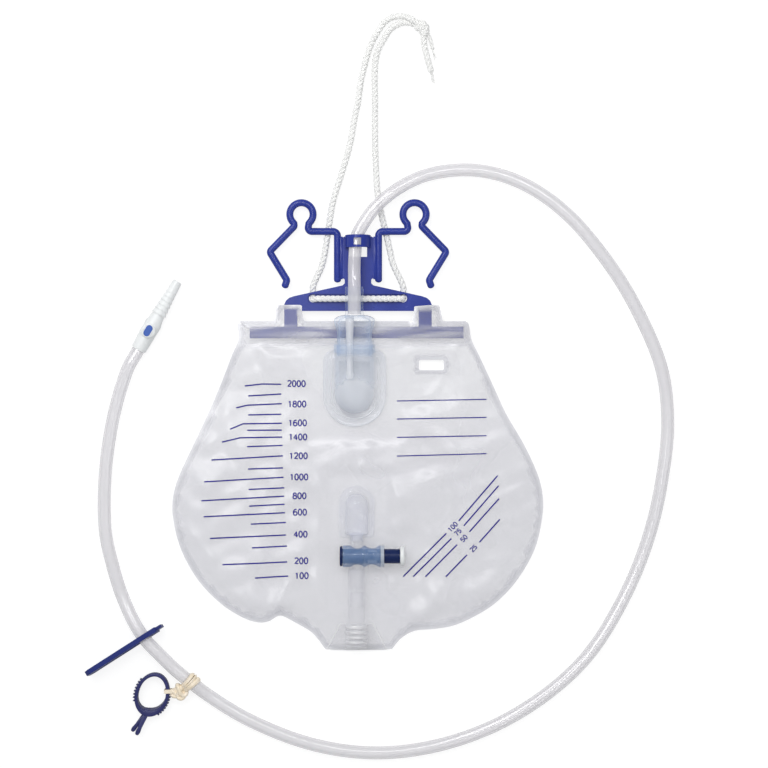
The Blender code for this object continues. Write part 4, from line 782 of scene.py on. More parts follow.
class Palette:
    """Every finish of the bag, made once."""

    def __init__(self) -> None:
        """Build the materials."""
        # Soft PVC film, calendered and welded by radio frequency: it dims what lies behind it and
        # catches broad soft highlights on its creases; welds look whiter and denser.
        # The mark attribute also carries painted light: the upper film made clearer so that it reads
        # brighter, and painted highlights on the pocket over the spout's rib crests.
        film = SeeThrough(Slot.FILM, "soft_pvc_film_calendered", "#dddde4", "#e8e8ee", 0.26, 0.26, 0.6,
            cloud_mm=60.0, skin_mm=26.0, relief=0.5, cloud_alpha=0.035, specular=1.0, index=1.7, mark="weld",
            mark_colour="#f4f4f8")
        self.film = film.build()
        # The pocket's film is thinner and stands free of the bag, so it dims less; its colour is also painted
        # lighter than the film's own, to offset the shade it takes where it stacks over the bag.
        self.pocket = replace(film, name="soft_pvc_film_pocket_painted_lighter", colour="#f2f2f6", cloud="#fafafc",
            alpha=0.10, mark_colour="#ffffff", mark_alpha=0.8).build()
        # Rigid clear PVC, injection moulded with a blue tint: glassy, its edges gather the tint.
        self.clear = SeeThrough(Slot.CLEAR, "rigid_pvc_moulded_clear_blue", "#d3e6ff", "#e2efff", 0.10, 0.03,
            0.55, cloud_mm=26.0, skin_mm=12.0, relief=0.08, edge_power=3.0, specular=1.0, mark="frost",
            mark_colour="#fdfdff", mark_alpha=0.52).build()
        # The flange of the same PVC, milkier where it has been welded to the film.
        self.flange = SeeThrough(Slot.CLEAR, "rigid_pvc_welded_flange", "#f0f4fc", "#f8fafe", 0.16, 0.27,
            0.75, cloud_mm=26.0, skin_mm=12.0, relief=0.08, edge_power=1.4, specular=1.0).build()
        # The same PVC in the thick mouth ring, where the tint is deeper.
        ring = SeeThrough(Slot.CLEAR, "rigid_pvc_moulded_thick_blue", "#aed0f9", "#c8e0fc", 0.09, 0.07, 0.8,
            cloud_mm=9.0, skin_mm=6.0, relief=0.12, specular=1.0)
        self.ring = ring.build()
        # The stopper's walls are thinner, so the tint gathers at its rims alone.
        self.stopper = replace(ring, name="rigid_pvc_moulded_stopper", colour="#c4dbfa", cloud="#dceafd",
            alpha=0.045, edge_alpha=0.85, edge_power=2.0).build()
        # Low-density polyethylene, injection moulded: milky and waxy, softly see-through.
        self.milky = SeeThrough(Slot.MILKY, "polyethylene_moulded_milky", "#f1f2f9", "#f8f8fc", 0.15, 0.07,
            0.45, cloud_mm=14.0, skin_mm=8.0, relief=0.08, specular=1.0).build()
        # The outlet's domed port is thicker, and its bluish edges glow.
        self.port = SeeThrough(Slot.MILKY, "polyethylene_moulded_port", "#eef1ff", "#f9faff", 0.12, 0.16,
            0.72, cloud_mm=14.0, skin_mm=8.0, relief=0.1, specular=1.0).build()
        # The spout's ribs are thicker, so they let less through. The drip nozzle takes this finish too, where
        # its milky white is a painted highlight.
        self.ribs = SeeThrough(Slot.MILKY, "polyethylene_moulded_thick_and_painted_highlight", "#f6f6fa", "#fcfcfd", 0.2, 0.6, 0.95,
            cloud_mm=6.0, skin_mm=4.0, relief=0.05).build()
        # Tinted clear styrene of the tap's body: a smoky blue over the dark piston.
        self.tap = SeeThrough(Slot.TAP, "tinted_styrene_moulded", "#7396ca", "#8cabd7", 0.18, 0.36, 0.85,
            cloud_mm=5.0, skin_mm=3.5, relief=0.06, specular=0.8).build()
        # The body's right end is thinner and lets more light in.
        self.tap_end = SeeThrough(Slot.TAP, "tinted_styrene_thin_end", "#c9d6e8", "#dbe4f0", 0.18, 0.5, 0.9,
            cloud_mm=5.0, skin_mm=3.5, relief=0.06, specular=0.8).build()
        # Plasticised PVC tube, extruded: clear wall and bright rims; its cool grey core is the bore's painted
        # shade.
        self.tube = SeeThrough(Slot.TUBE, "plasticised_pvc_extruded", "#efedf1", "#f5f3f6", 0.10, 0.52, 0.82,
            cloud_mm=60.0, skin_mm=30.0, relief=0.02, edge_power=4.5, specular=1.0, index=1.75).build()
        # The bore's wall inside the tube, painted a darker grey than the tube's clear PVC: painted shade that
        # stands in for the two dark lines that refraction draws along the bore.
        self.bore = SeeThrough(Slot.TUBE, "plasticised_pvc_bore_painted_shade", "#bdb9c0", "#c8c4ca", 0.15, 0.09, 0.9,
            cloud_mm=60.0, skin_mm=30.0, relief=0.02, edge_power=3.4, specular=1.0).build()
        # Soft polypropylene, moulded: saturated blue, satin skin.
        self.blue = MouldedPlastic(Slot.BLUE, "polypropylene_moulded_blue", "#22328a", "#2b3c98", 0.24,
            specular=0.35).build()
        # Polyethylene pigmented navy: near black where it turns away.
        self.navy = MouldedPlastic(Slot.NAVY, "polyethylene_moulded_navy", "#18266a", "#202f78", 0.34,
            specular=0.2).build()
        # The sheet clip's polyethylene is paler and duller with handling.
        self.clip = MouldedPlastic(Slot.NAVY, "polyethylene_moulded_faded_navy", "#25295f", "#35386c", 0.32,
            specular=0.35).build()
        # The piston's polyethylene holds more pigment and its turned skin is glossier.
        self.piston = MouldedPlastic(Slot.NAVY, "polyethylene_moulded_dark_navy", "#0d1c48", "#152655", 0.24,
            specular=0.2).build()
        # ABS, moulded: clean white with a satin gloss.
        self.white = MouldedPlastic(Slot.WHITE, "abs_moulded_white", "#e6e9e9", "#eef0f0", 0.3).build()
        # Silicone rubber of the sampling port: dull mid blue.
        self.septum = MouldedPlastic(Slot.SEPTUM, "silicone_moulded_blue", "#3d5fb0", "#4a6cba", 0.5,
            specular=0.3).build()
        # Nitrile rubber ring: matt black.
        self.seal = MouldedPlastic(Slot.SEAL, "nitrile_moulded_black", "#25262a", "#2e2f34", 0.55).build()
        # Natural latex, dipped and cut: cream, waxy, uneven.
        self.latex = MouldedPlastic(Slot.LATEX, "latex_dipped_cream", "#fdf1df", "#f6e6c8", 0.36,
            cloud_mm=4.5, skin_mm=1.4, relief=0.04).build()
        # Screen-printed vinyl ink: flat violet blue with slightly uneven cover.
        self.ink = MouldedPlastic(Slot.FILM, "vinyl_ink_screen_printed", "#2b2783", "#36328f", 0.55,
            cloud_mm=5.0, skin_mm=1.2, relief=0.004, specular=0.2).build()
        # Polyester yarn, twisted three-strand: white and matt.
        self.rope = TwistedFibre(Slot.ROPE, "polyester_yarn_twisted", "#fbfbf9", "#ebebe9").build()


# Studio


@dataclass(frozen=True)
class Lamp:
    """A softbox that faces the bag."""

    name: str
    place: tuple[float, float, float]
    size: tuple[float, float]
    power: float
    colour: str = "#ffffff"

    def build(self) -> None:
        """Hang the softbox."""
        light = bpy.data.lights.new(self.name, "AREA")
        light.shape = "RECTANGLE"
        light.size, light.size_y = self.size
        light.energy = self.power
        light.color = srgb(self.colour)[:3]
        lamp = bpy.data.objects.new(self.name, light)
        lamp.location = self.place
        lamp.rotation_euler = (-Vector(self.place)).to_track_quat("-Z", "Y").to_euler()
        lamp.visible_camera = False
        bpy.context.scene.collection.objects.link(lamp)


@dataclass
class Studio:
    """White table, soft light and a camera that looks straight down."""

    centre: tuple[float, float] = (18.98, 29.82)
    width: float = 560.6
    lens: float = 100.0
    sensor: float = 36.0
    lamps: tuple[Lamp, ...] = (Lamp("key_softbox", (-0.45, 0.66, 0.84), (0.55, 0.55), 3.7),
        Lamp("fill_softbox", (1.2, -0.5, 1.3), (1.1, 1.1), 2.6), Lamp("upper_strip", (0.05, 0.5, 1.2),
        (0.9, 0.16), 3.3), Lamp("left_strip", (-0.5, 0.22, 1.6), (0.18, 1), 3.6),)

    def make_camera(self) -> None:
        """Place the camera at the photograph's viewing angle."""
        camera = bpy.data.cameras.new("camera")
        camera.lens = self.lens
        camera.sensor_width = self.sensor
        camera.sensor_fit = "HORIZONTAL"
        eye = bpy.data.objects.new("camera", camera)
        height = 6.0 + self.width * self.lens / self.sensor
        eye.location = Vector((*self.centre, height)) * MM
        bpy.context.scene.collection.objects.link(eye)
        bpy.context.scene.camera = eye

    def make_floor(self) -> None:
        """Lay a white floor that keeps the bag's faint shadow."""
        material = bpy.data.materials.new("white_table")
        material.use_nodes = True
        tree = material.node_tree
        tree.nodes.clear()
        seen = self.seen_directly(tree)
        plain = add_node(tree, "ShaderNodeBsdfDiffuse", {"Color": (0.8, 0.8, 0.8, 1)})
        faint = add_node(tree, "ShaderNodeBsdfDiffuse", {"Color": (0.26, 0.26, 0.26, 1)})
        glow = add_node(tree, "ShaderNodeEmission", {"Strength": 0.82})
        bright = add_node(tree, "ShaderNodeAddShader", {0: faint, 1: glow})
        both = add_node(tree, "ShaderNodeMixShader", {0: seen, 1: plain, 2: bright})
        add_node(tree, "ShaderNodeOutputMaterial", {"Surface": both})
        reach = 6000.0
        corners = [(-reach, -reach), (reach, -reach), (reach, reach), (-reach, reach)]
        floor = mesh_piece("floor", Shape([Vector((x, y, -0.15)) for x, y in corners], [[0, 1, 2, 3]]),
            material, merge=False)

    def make_world(self) -> None:
        """Even light from all round, and white where it is seen."""
        world = bpy.data.worlds.new("studio")
        world.use_nodes = True
        tree = world.node_tree
        tree.nodes.clear()
        seen = self.seen_directly(tree)
        even = add_node(tree, "ShaderNodeBackground", {"Color": (0.97, 0.98, 1, 1), "Strength": 0.46})
        white = add_node(tree, "ShaderNodeBackground", {"Color": (1, 1, 1, 1), "Strength": 1.0})
        both = add_node(tree, "ShaderNodeMixShader", {0: seen, 1: even, 2: white})
        add_node(tree, "ShaderNodeOutputWorld", {"Surface": both})
        bpy.context.scene.world = world

    @staticmethod
    def seen_directly(tree: Tree) -> Socket:
        """Camera and transmission rays together.

        Args:
            tree: The tree to add the nodes to.

        Returns:
            1 where a ray is either of them.
        """
        path = add_node(tree, "ShaderNodeLightPath")
        both = add_node(tree, "ShaderNodeMath", {0: path.outputs["Is Camera Ray"],
            1: path.outputs["Is Transmission Ray"]}, operation="MAXIMUM")
        return both.outputs[0]

    def build(self) -> None:
        """Set the whole studio up."""
        self.make_camera()
        self.make_floor()
        self.make_world()
        for lamp in self.lamps:
            lamp.build()
        bpy.context.scene.view_settings.view_transform = "Standard"
        # The chamber stacks some sixteen clear faces over the films
        bpy.context.scene.cycles.transparent_max_bounces = 32


# Geometry node trees


class NodeShaper:
    """A geometry tree with named inputs, run once on a mesh."""

    def __init__(self, name: str, inputs: dict[str, str]) -> None:
        """Start the tree.

        Args:
            name: The tree's name.
            inputs: For each named input, its socket type.
        """
        self.tree = bpy.data.node_groups.new(name, "GeometryNodeTree")
        face = self.tree.interface
        face.new_socket(name="Geometry", in_out="INPUT", socket_type="NodeSocketGeometry")
        for label, kind in inputs.items():
            face.new_socket(name=label, in_out="INPUT", socket_type=kind)
        face.new_socket(name="Geometry", in_out="OUTPUT", socket_type="NodeSocketGeometry")
        self.start = add_node(self.tree, "NodeGroupInput")

    def add(self, kind: str, inputs: dict | None = None, **settings) -> Node:
        """Add a node to the tree."""
        return add_node(self.tree, kind, inputs, **settings)

    def close(self, geometry: Socket) -> None:
        """End the tree with real geometry that has its material.

        Args:
            geometry: What the tree has made.
        """
        real = self.add("GeometryNodeRealizeInstances", {0: geometry})
        dressed = self.add("GeometryNodeSetMaterial", {"Geometry": real,
            "Material": self.start.outputs["Material"]})
        self.add("NodeGroupOutput", {0: dressed})

    def run(self, name: str, guide: Shape, edges: list[tuple[int, int]], values: dict) -> Piece:
        """Run the tree on a guide and keep the result as a plain mesh.

        Args:
            name: The new piece's name.
            guide: The guide's points and faces.
            edges: The guide's edges, where it is a line.
            values: A value for each named input.

        Returns:
            The new piece.
        """
        mesh = bpy.data.meshes.new(name)
        mesh.from_pydata([Vector(v) * MM for v in guide.vertices], edges, guide.faces)
        obj = bpy.data.objects.new(name, mesh)
        bpy.context.scene.collection.objects.link(obj)
        modifier = obj.modifiers.new(self.tree.name, "NODES")
        modifier.node_group = self.tree
        for item in self.tree.interface.items_tree:
            if item.in_out == "INPUT" and item.name in values:
                modifier[item.identifier] = values[item.name]
        bpy.context.view_layer.update()
        shaped = obj.evaluated_get(bpy.context.evaluated_depsgraph_get())
        result = bpy.data.meshes.new_from_object(shaped)
        obj.modifiers.clear()
        obj.data = result
        result.shade_smooth()
        result.set_sharp_from_angle(angle=math.radians(45))
        return obj


class StrandTwister(NodeShaper):
    """Lays strands round a path as rope is laid."""

    def __init__(self) -> None:
        """Build the tree."""
        super().__init__("lay_strands", {"Strands": "NodeSocketInt", "Pitch": "NodeSocketFloat",
            "Lay Radius": "NodeSocketFloat", "Strand Radius": "NodeSocketFloat", "Step": "NodeSocketFloat",
            "Material": "NodeSocketMaterial"})
        given = self.start.outputs
        line = self.add("GeometryNodeMeshToCurve", {0: given["Geometry"]})
        even = self.add("GeometryNodeResampleCurve", {"Curve": line, "Length": given["Step"]}, mode="LENGTH")
        copies = self.add("GeometryNodeDuplicateElements", {"Geometry": even, "Amount": given["Strands"]},
            domain="SPLINE")
        along = self.add("GeometryNodeSplineParameter")
        turns = self.add("ShaderNodeMath", {0: along.outputs["Length"], 1: given["Pitch"]},
            operation="DIVIDE")
        share = self.add("ShaderNodeMath", {0: copies.outputs["Duplicate Index"], 1: given["Strands"]},
            operation="DIVIDE")
        total = self.add("ShaderNodeMath", {0: turns, 1: share})
        angle = self.add("ShaderNodeMath", {0: total, 1: 2 * math.pi}, operation="MULTIPLY")
        tangent = self.add("GeometryNodeInputTangent")
        normal = self.add("GeometryNodeInputNormal")
        side = self.add("ShaderNodeVectorMath", {0: tangent, 1: normal}, operation="CROSS_PRODUCT")
        parts = []
        for operation, direction in (("COSINE", normal), ("SINE", side)):
            wave = self.add("ShaderNodeMath", {0: angle}, operation=operation)
            reach = self.add("ShaderNodeMath", {0: wave, 1: given["Lay Radius"]}, operation="MULTIPLY")
            parts.append(self.add("ShaderNodeVectorMath", {0: direction, "Scale": reach}, operation="SCALE"))
        offset = self.add("ShaderNodeVectorMath", {0: parts[0], 1: parts[1]})
        laid = self.add("GeometryNodeSetPosition", {"Geometry": copies, "Offset": offset})
        profile = self.add("GeometryNodeCurvePrimitiveCircle", {"Resolution": 9,
            "Radius": given["Strand Radius"]})
        strands = self.add("GeometryNodeCurveToMesh", {"Curve": laid, "Profile Curve": profile,
            "Fill Caps": True})
        self.close(strands.outputs[0])


class RowSetter(NodeShaper):
    """Sets copies of one item along a guide line: ribs, barbs and finger serrations."""

    def __init__(self) -> None:
        """Build the tree."""
        super().__init__("set_in_a_row", {"Item": "NodeSocketObject", "Count": "NodeSocketInt",
            "Last Size": "NodeSocketFloat", "Material": "NodeSocketMaterial"})
        given = self.start.outputs
        line = self.add("GeometryNodeMeshToCurve", {0: given["Geometry"]})
        level = self.add("GeometryNodeSetCurveNormal", {"Curve": line}, mode="Z_UP")
        points = self.add("GeometryNodeCurveToPoints", {"Curve": level, "Count": given["Count"]},
            mode="COUNT")
        item = self.add("GeometryNodeObjectInfo", {"Object": given["Item"]})
        index = self.add("GeometryNodeInputIndex")
        last = self.add("ShaderNodeMath", {0: given["Count"], 1: 1.0}, operation="SUBTRACT")
        share = self.add("ShaderNodeMath", {0: index, 1: last}, operation="DIVIDE")
        size = self.add("ShaderNodeMix", {0: share, 2: 1.0, 3: given["Last Size"]}, data_type="FLOAT")
        depth = self.add("ShaderNodeCombineXYZ", {0: size, 1: size, 2: 1.0})
        copies = self.add("GeometryNodeInstanceOnPoints", {"Points": points.outputs["Points"],
            "Instance": item.outputs["Geometry"], "Rotation": points.outputs["Rotation"], "Scale": depth})
        self.close(copies.outputs[0])

    def set_row(self, name: str, item: Shape, line: Sequence[Vector], count: int, look: Look,
            last_size: float = 1.0) -> Piece:
        """Set an item along a line.

        Args:
            name: The new piece's name.
            item: The item, with its own Z along the line.
            line: The guide line.
            count: How many items.
            look: Their finish.
            last_size: Size of the last one across the line.

        Returns:
            The new piece.
        """
        pattern = mesh_piece(name + "_item", item, look.material)
        edges = [(k, k + 1) for k in range(len(line) - 1)]
        row = self.run(name, Shape(list(line), []), edges, {"Item": pattern, "Count": count,
            "Last Size": last_size, "Material": look.material})
        bpy.data.objects.remove(pattern, do_unlink=True)
        return register(row)


# The bag's form


class BagForm:
    """Outline and heights of the two films, as functions of x and depth."""

    LEFT_SIDE = [(85.6, 2.2), (87.6, 5.1), (87.4, 16.1), (92, 27), (100.7, 48.9), (110.2, 70.8),
        (120.5, 92.7), (130.7, 114.6), (135.5, 131), (135.3, 147.5), (129.6, 169.4), (117.5, 191.3),
        (101.5, 208.1), (86, 218.4), (74, 222.6), (65.5, 222), (56.9, 217.8), (46, 222.8), (35, 229.2),
        (29.2, 235.1), (24.1, 242)]
    RIGHT_SIDE = [(78.6, 2.2), (81, 5.1), (83, 16.1), (88.3, 27), (98.6, 48.9), (108.8, 70.8), (121.6, 92.7),
        (131.6, 114.6), (135.3, 131), (134.6, 147.5), (129.2, 169.4), (116.8, 191.3), (101.5, 207.8),
        (85.4, 218.3), (70, 225), (56, 227.5), (41.6, 228.9), (31.5, 234.4), (25, 242)]
    BOTTOM = [(18, 242.9), (6, 243), (-8, 243.2), (-18, 242.9)]
    HAND_SLOT = (44.5, 62.8, 30.7, 38)
    BAR = (-79, 77, 6.2, 14.8)
    # Soft ridges as (x, depth, x, depth, height, width)
    RIDGES = [(-78, 206, -60, 212, 2.6, 12), (-57, 212, -42, 172, 1.6, 6.5), (-124, 152, -104, 112, 1.4, 8),
        (-30, 46, -66, 30, 1.6, 6.5), (27, 58, 66, 96, 1.5, 8), (36, 228, 60, 198, 1.8, 7),
        (-22, 128, -52, 108, 1.4, 8), (20, 136, 52, 122, 1.3, 8), (-34, 224, -30, 190, 1.5, 6.5),
        (88, 204, 112, 178, 1.5, 9), (-96, 62, -84, 98, 1.2, 9), (66, 56, 96, 92, 1.2, 9),
        (-66, 26, -34, 30, 1.5, 4.5), (-72, 24, -56, 44, 1.5, 5), (30, 27, 70, 25, 1.3, 4.5),
        (-110, 90, -96, 70, 1.2, 7), (-100, 190, -70, 176, 1.3, 8), (60, 206, 96, 196, 1.2, 8)]
    # Finer creases that the light picks out
    CREASES = [(-12, 84, -5, 120, 0.9, 3.6), (10, 82, 2, 118, 0.9, 3.6), (-70, 22, -44, 36, 0.7, 3.2),
        (-78, 30, -66, 58, 0.6, 3.4), (26, 40, 42, 52, 0.7, 3), (30, 24, 60, 46, 0.7, 3.6),
        (70, 22, 58, 50, 0.7, 3.4), (34, 62, 54, 56, 0.5, 2.8), (-34, 58, -24, 86, 0.7, 3.6),
        (24, 70, 30, 96, 0.6, 3.2), (-64, 216, -52, 196, 0.8, 3), (-80, 214, -92, 200, 0.6, 3.4),
        (44, 222, 58, 208, 0.6, 3.2), (-40, 220, -46, 204, 0.6, 2.8), (-22, 120, -34, 134, 0.6, 3),
        (20, 116, 30, 130, 0.6, 3), (-20, 150, -30, 166, 0.5, 2.8), (22, 150, 34, 160, 0.5, 2.8),
        (104, 130, 126, 120, 0.7, 3.6), (-106, 176, -120, 160, 0.7, 3.6)]
    SEAM = 4.0  # width of the welded rim
    CROWN, CROWN_REACH = 2.4, 24  # how high the front film stands, and how far in it gets there
    RIPPLE = 0.1  # height of the small waves

    def __init__(self, seed: int = 11) -> None:
        """Lay out the outline and the film's small waves.

        Args:
            seed: Seed of the waves.
        """
        self.outline = self.make_outline(6)
        rng = np.random.default_rng(seed)
        self.waves = [(rng.uniform(0, math.tau), rng.uniform(0, math.tau), math.tau / rng.uniform(13, 46))
            for _ in range(18)]

    @staticmethod
    def spline(points: Sequence, steps: int) -> list[Vector]:
        """A smooth line through points.

        Args:
            points: The points.
            steps: Spans between two of them.

        Returns:
            The line, its last point included.
        """
        points = [Vector(p) for p in points]
        ends = [points[0] * 2 - points[1]] + points + [points[-1] * 2 - points[-2]]
        line = []
        for p0, p1, p2, p3 in zip(ends, ends[1:], ends[2:], ends[3:]):
            for k in range(steps):
                t = k / steps
                line.append(0.5 * (2 * p1 + (p2 - p0) * t + (2 * p0 - 5 * p1 + 4 * p2 - p3) * t * t
                    + (3 * p1 - p0 - 3 * p2 + p3) * t ** 3))
        return line + [points[-1]]

    @staticmethod
    def tab(side: int) -> Outline:
        """The film's edge over one hanger leg.

        Args:
            side: -1 for the left leg, 1 for the right.

        Returns:
            Its (distance, depth) points, outer foot first.
        """
        slant = 0.8 if side > 0 else 0.0
        return [(61.8, 2.2), (59.8, -8), (59.3, -9.1), (58.6, -9.5), (56.8, -9.5), (54.4, -9.5),
            (43.6, -9.5 + slant), (41.6, -9.3 + slant), (40.9, -8.6 + slant), (40.9, -4.5), (39.4, 2.2)]

    def make_outline(self, steps: int) -> Outline:
        """The films' outline.

        Args:
            steps: Spans between two given points of a side.

        Returns:
            (x, depth) points, clockwise from the top left corner.
        """
        top = [(-x, depth) for x, depth in self.tab(-1)]
        ends = top[-1][0], self.tab(1)[-1][0]
        top += [(ends[0] + (ends[1] - ends[0]) * k / 20, 2.2) for k in range(1, 20)]
        top += self.tab(1)[::-1]
        left = [(-p.x, p.y) for p in self.spline(self.LEFT_SIDE, steps)]
        right = [(p.x, p.y) for p in self.spline(self.RIGHT_SIDE, steps)]
        return top + right + self.BOTTOM + left[::-1]

    @staticmethod
    def span_distance(x: np.ndarray, d: np.ndarray, ax: float, ay: float, bx: float, by: float) -> np.ndarray:
        """The distance of points from a straight span.

        Args:
            x, d: The points.
            ax, ay, bx, by: The span's ends.

        Returns:
            The distances.
        """
        dx, dy = bx - ax, by - ay
        t = np.clip(((x - ax) * dx + (d - ay) * dy) / max(dx * dx + dy * dy, 1e-12), 0, 1)
        return np.hypot(x - ax - t * dx, d - ay - t * dy)

    @staticmethod
    def box_distance(x: np.ndarray, d: np.ndarray, box: Sequence[float]) -> np.ndarray:
        """How far points lie outside a box of (x0, x1, depth0, depth1)."""
        dx = np.maximum(np.maximum(box[0] - x, x - box[1]), 0)
        return np.hypot(dx, np.maximum(np.maximum(box[2] - d, d - box[3]), 0))

    def edge(self, x: np.ndarray, d: np.ndarray) -> np.ndarray:
        """The distance of points from the outline.

        Args:
            x, d: The points.

        Returns:
            The distances.
        """
        best = np.full(np.shape(x), 1e9)
        for (ax, ay), (bx, by) in zip(self.outline, self.outline[1:] + self.outline[:1]):
            best = np.minimum(best, self.span_distance(x, d, ax, ay, bx, by))
        return best

    def within(self, x: np.ndarray, d: np.ndarray) -> np.ndarray:
        """Whether points lie inside the outline.

        Args:
            x, d: The points.

        Returns:
            True or False for each.
        """
        odd = np.zeros(np.shape(x), bool)
        for (ax, ay), (bx, by) in zip(self.outline, self.outline[1:] + self.outline[:1]):
            if ay != by:
                odd ^= ((ay > d) != (by > d)) & (x < (bx - ax) * (d - ay) / (by - ay) + ax)
        return odd

    def back(self, x: np.ndarray, d: np.ndarray) -> np.ndarray:
        """Height of the back film's outer face: the hem hangs on the lifted hanger."""
        return (HANGER_Z - GAP - FILM) * ease((62.0 - d) / 46.0) + 0 * x

    def ripple(self, x: np.ndarray, d: np.ndarray) -> np.ndarray:
        """The film's small waves.

        Args:
            x, d: The points.

        Returns:
            Heights about zero.
        """
        bent_x = x + 7 * np.sin(d / 31 + 0.6)
        bent_d = d + 8 * np.sin(x / 37 + 1.9)
        total = np.zeros(np.shape(x))
        for heading, phase, rate in self.waves:
            total += np.sin((bent_x * math.cos(heading) + bent_d * math.sin(heading)) * rate + phase)
        # The lower right of the bag lies smoother
        smooth = 1 - 0.45 * ease((x - 10) / 60) * ease((d - 110) / 60)
        return total * self.RIPPLE * smooth

    def front(self, x: np.ndarray, d: np.ndarray) -> np.ndarray:
        """Height of the front film's underside.

        Args:
            x, d: The points.

        Returns:
            The heights.
        """
        base = self.back(x, d) + FILM + GAP
        rim = np.minimum(self.edge(x, d), self.box_distance(x, d, self.HAND_SLOT))
        puff = 1 - np.exp(-np.maximum(rim - self.SEAM, 0) / self.CROWN_REACH)
        height = base + self.CROWN * puff * ease((d - self.BAR[3]) / 30)
        for ax, ay, bx, by, rise, width in self.RIDGES + self.CREASES:
            away = self.span_distance(x, d, ax, ay, bx, by) / width
            height = height + rise * np.exp(-away * away) * ease(rim / 12)
        height = height + self.ripple(x, d) * ease(rim / 9)
        seats = [((-32.5, 27.5, 15.6, 86.6), CHAMBER_AT[2] + (CHAMBER_AT[1]
            - d) * math.tan(math.radians(CHAMBER_TILT)) - GAP - FILM), ((-21, 19, 115.6, 243), 1.2),
            ((-18, 42, 160.6, 186.6), 1.2), ((-30, 28, 216.6, 243), 1.2)]
        for box, seat in seats:
            height = height + (seat - height) * (1 - ease(self.box_distance(x, d, box) / 9))
        # A soft floor, so that no crease shows where the film comes down on the back film
        over = height - base
        height = base + (over + np.sqrt(over * over + 0.3)) / 2
        raised = [self.BAR]
        for side in (-1, 1):
            for inner, low in ((44.2, 6.2), (35.2, -5.1)):
                raised.append((*sorted((side * inner, side * 53.8)), -9.8, low))
        over = HANGER_Z + PLATE + GAP
        for box in raised:
            weight = np.clip(1 - (self.box_distance(x, d, box) - 0.65) / 2.3, 0, 1)
            height = np.maximum(height, base + (over - base) * weight)
        return height

    def weld(self, x: np.ndarray, d: np.ndarray) -> np.ndarray:
        """How strongly the films are welded together, which whitens them; it also carries a painted
        brightening of the upper film.

        Args:
            x, d: The points.

        Returns:
            Up to 1, and below 0 where the film is clearer than elsewhere: where it clings, and towards the
            top, where it is made clearer so that it reads brighter, a painted light.
        """
        mark = 1 - ease((self.edge(x, d) - 1.4) / 1.6)
        mark = np.maximum(mark, 0.85 * (1 - ease((self.box_distance(x, d, self.HAND_SLOT) - 1.7) / 0.8)))
        hem = np.abs(d - 19.6 - 0.5 * np.sin(x / 17))
        mark = np.maximum(mark, 0.4 * np.exp(-hem * hem))
        # The film clings to the bar and the legs in waves, and hazes them where it stands off
        wave = 0.5 + 0.5 * np.sin(x / 8.5 + 1.4 * np.sin(x / 23) + (d - 10.5) * 0.35)
        band = np.abs(d - 10.5 - 2.4 * np.sin(x / 19 + 0.8)) / 2.6
        haze = (0.2 + 0.8 * wave) * ease(band)
        near = 1 - ease(self.box_distance(x, d, self.BAR) / 2.5)
        legs = 1 - ease(self.box_distance(np.abs(x), d, (45, 53, -8, 6)) / 1.5)
        cling = np.where(mark < 0.4, np.maximum(near * (1 - haze), 0.7 * legs), 0)
        # Painted light: the upper film is made clearer, so more of the white table shows through and it reads
        # brighter, standing in for more light falling on the bag's top than on its foot.
        clear = 0.16 * ease((120 - d) / 90) * (mark < 0.3) * (1 - near)
        return np.maximum(mark, near * 0.3 * haze) - 0.26 * cling - clear


@dataclass
class Sheet:
    """A flat triangulated layer of the bag, in x and depth."""

    points: np.ndarray
    faces: list[list[int]]

    def slab(self, low: np.ndarray, thick: float) -> Shape:
        """Give the layer its heights and a thickness.

        Args:
            low: The underside's height at each point.
            thick: The thickness.

        Returns:
            The closed sheet.
        """
        count = len(self.points)
        under = [at(x, d, z) for (x, d), z in zip(self.points, low)]
        over = [v + Vector((0, 0, thick)) for v in under]
        seen: dict[tuple[int, int], list[tuple[int, int]]] = {}
        for face in self.faces:
            for a, b in zip(face, face[1:] + face[:1]):
                seen.setdefault((min(a, b), max(a, b)), []).append((a, b))
        faces = [face[::-1] for face in self.faces]
        faces += [[i + count for i in face] for face in self.faces]
        for uses in seen.values():
            if len(uses) == 1:
                a, b = uses[0]
                faces.append([a, b, b + count, a + count])
        return Shape(under + over, faces)


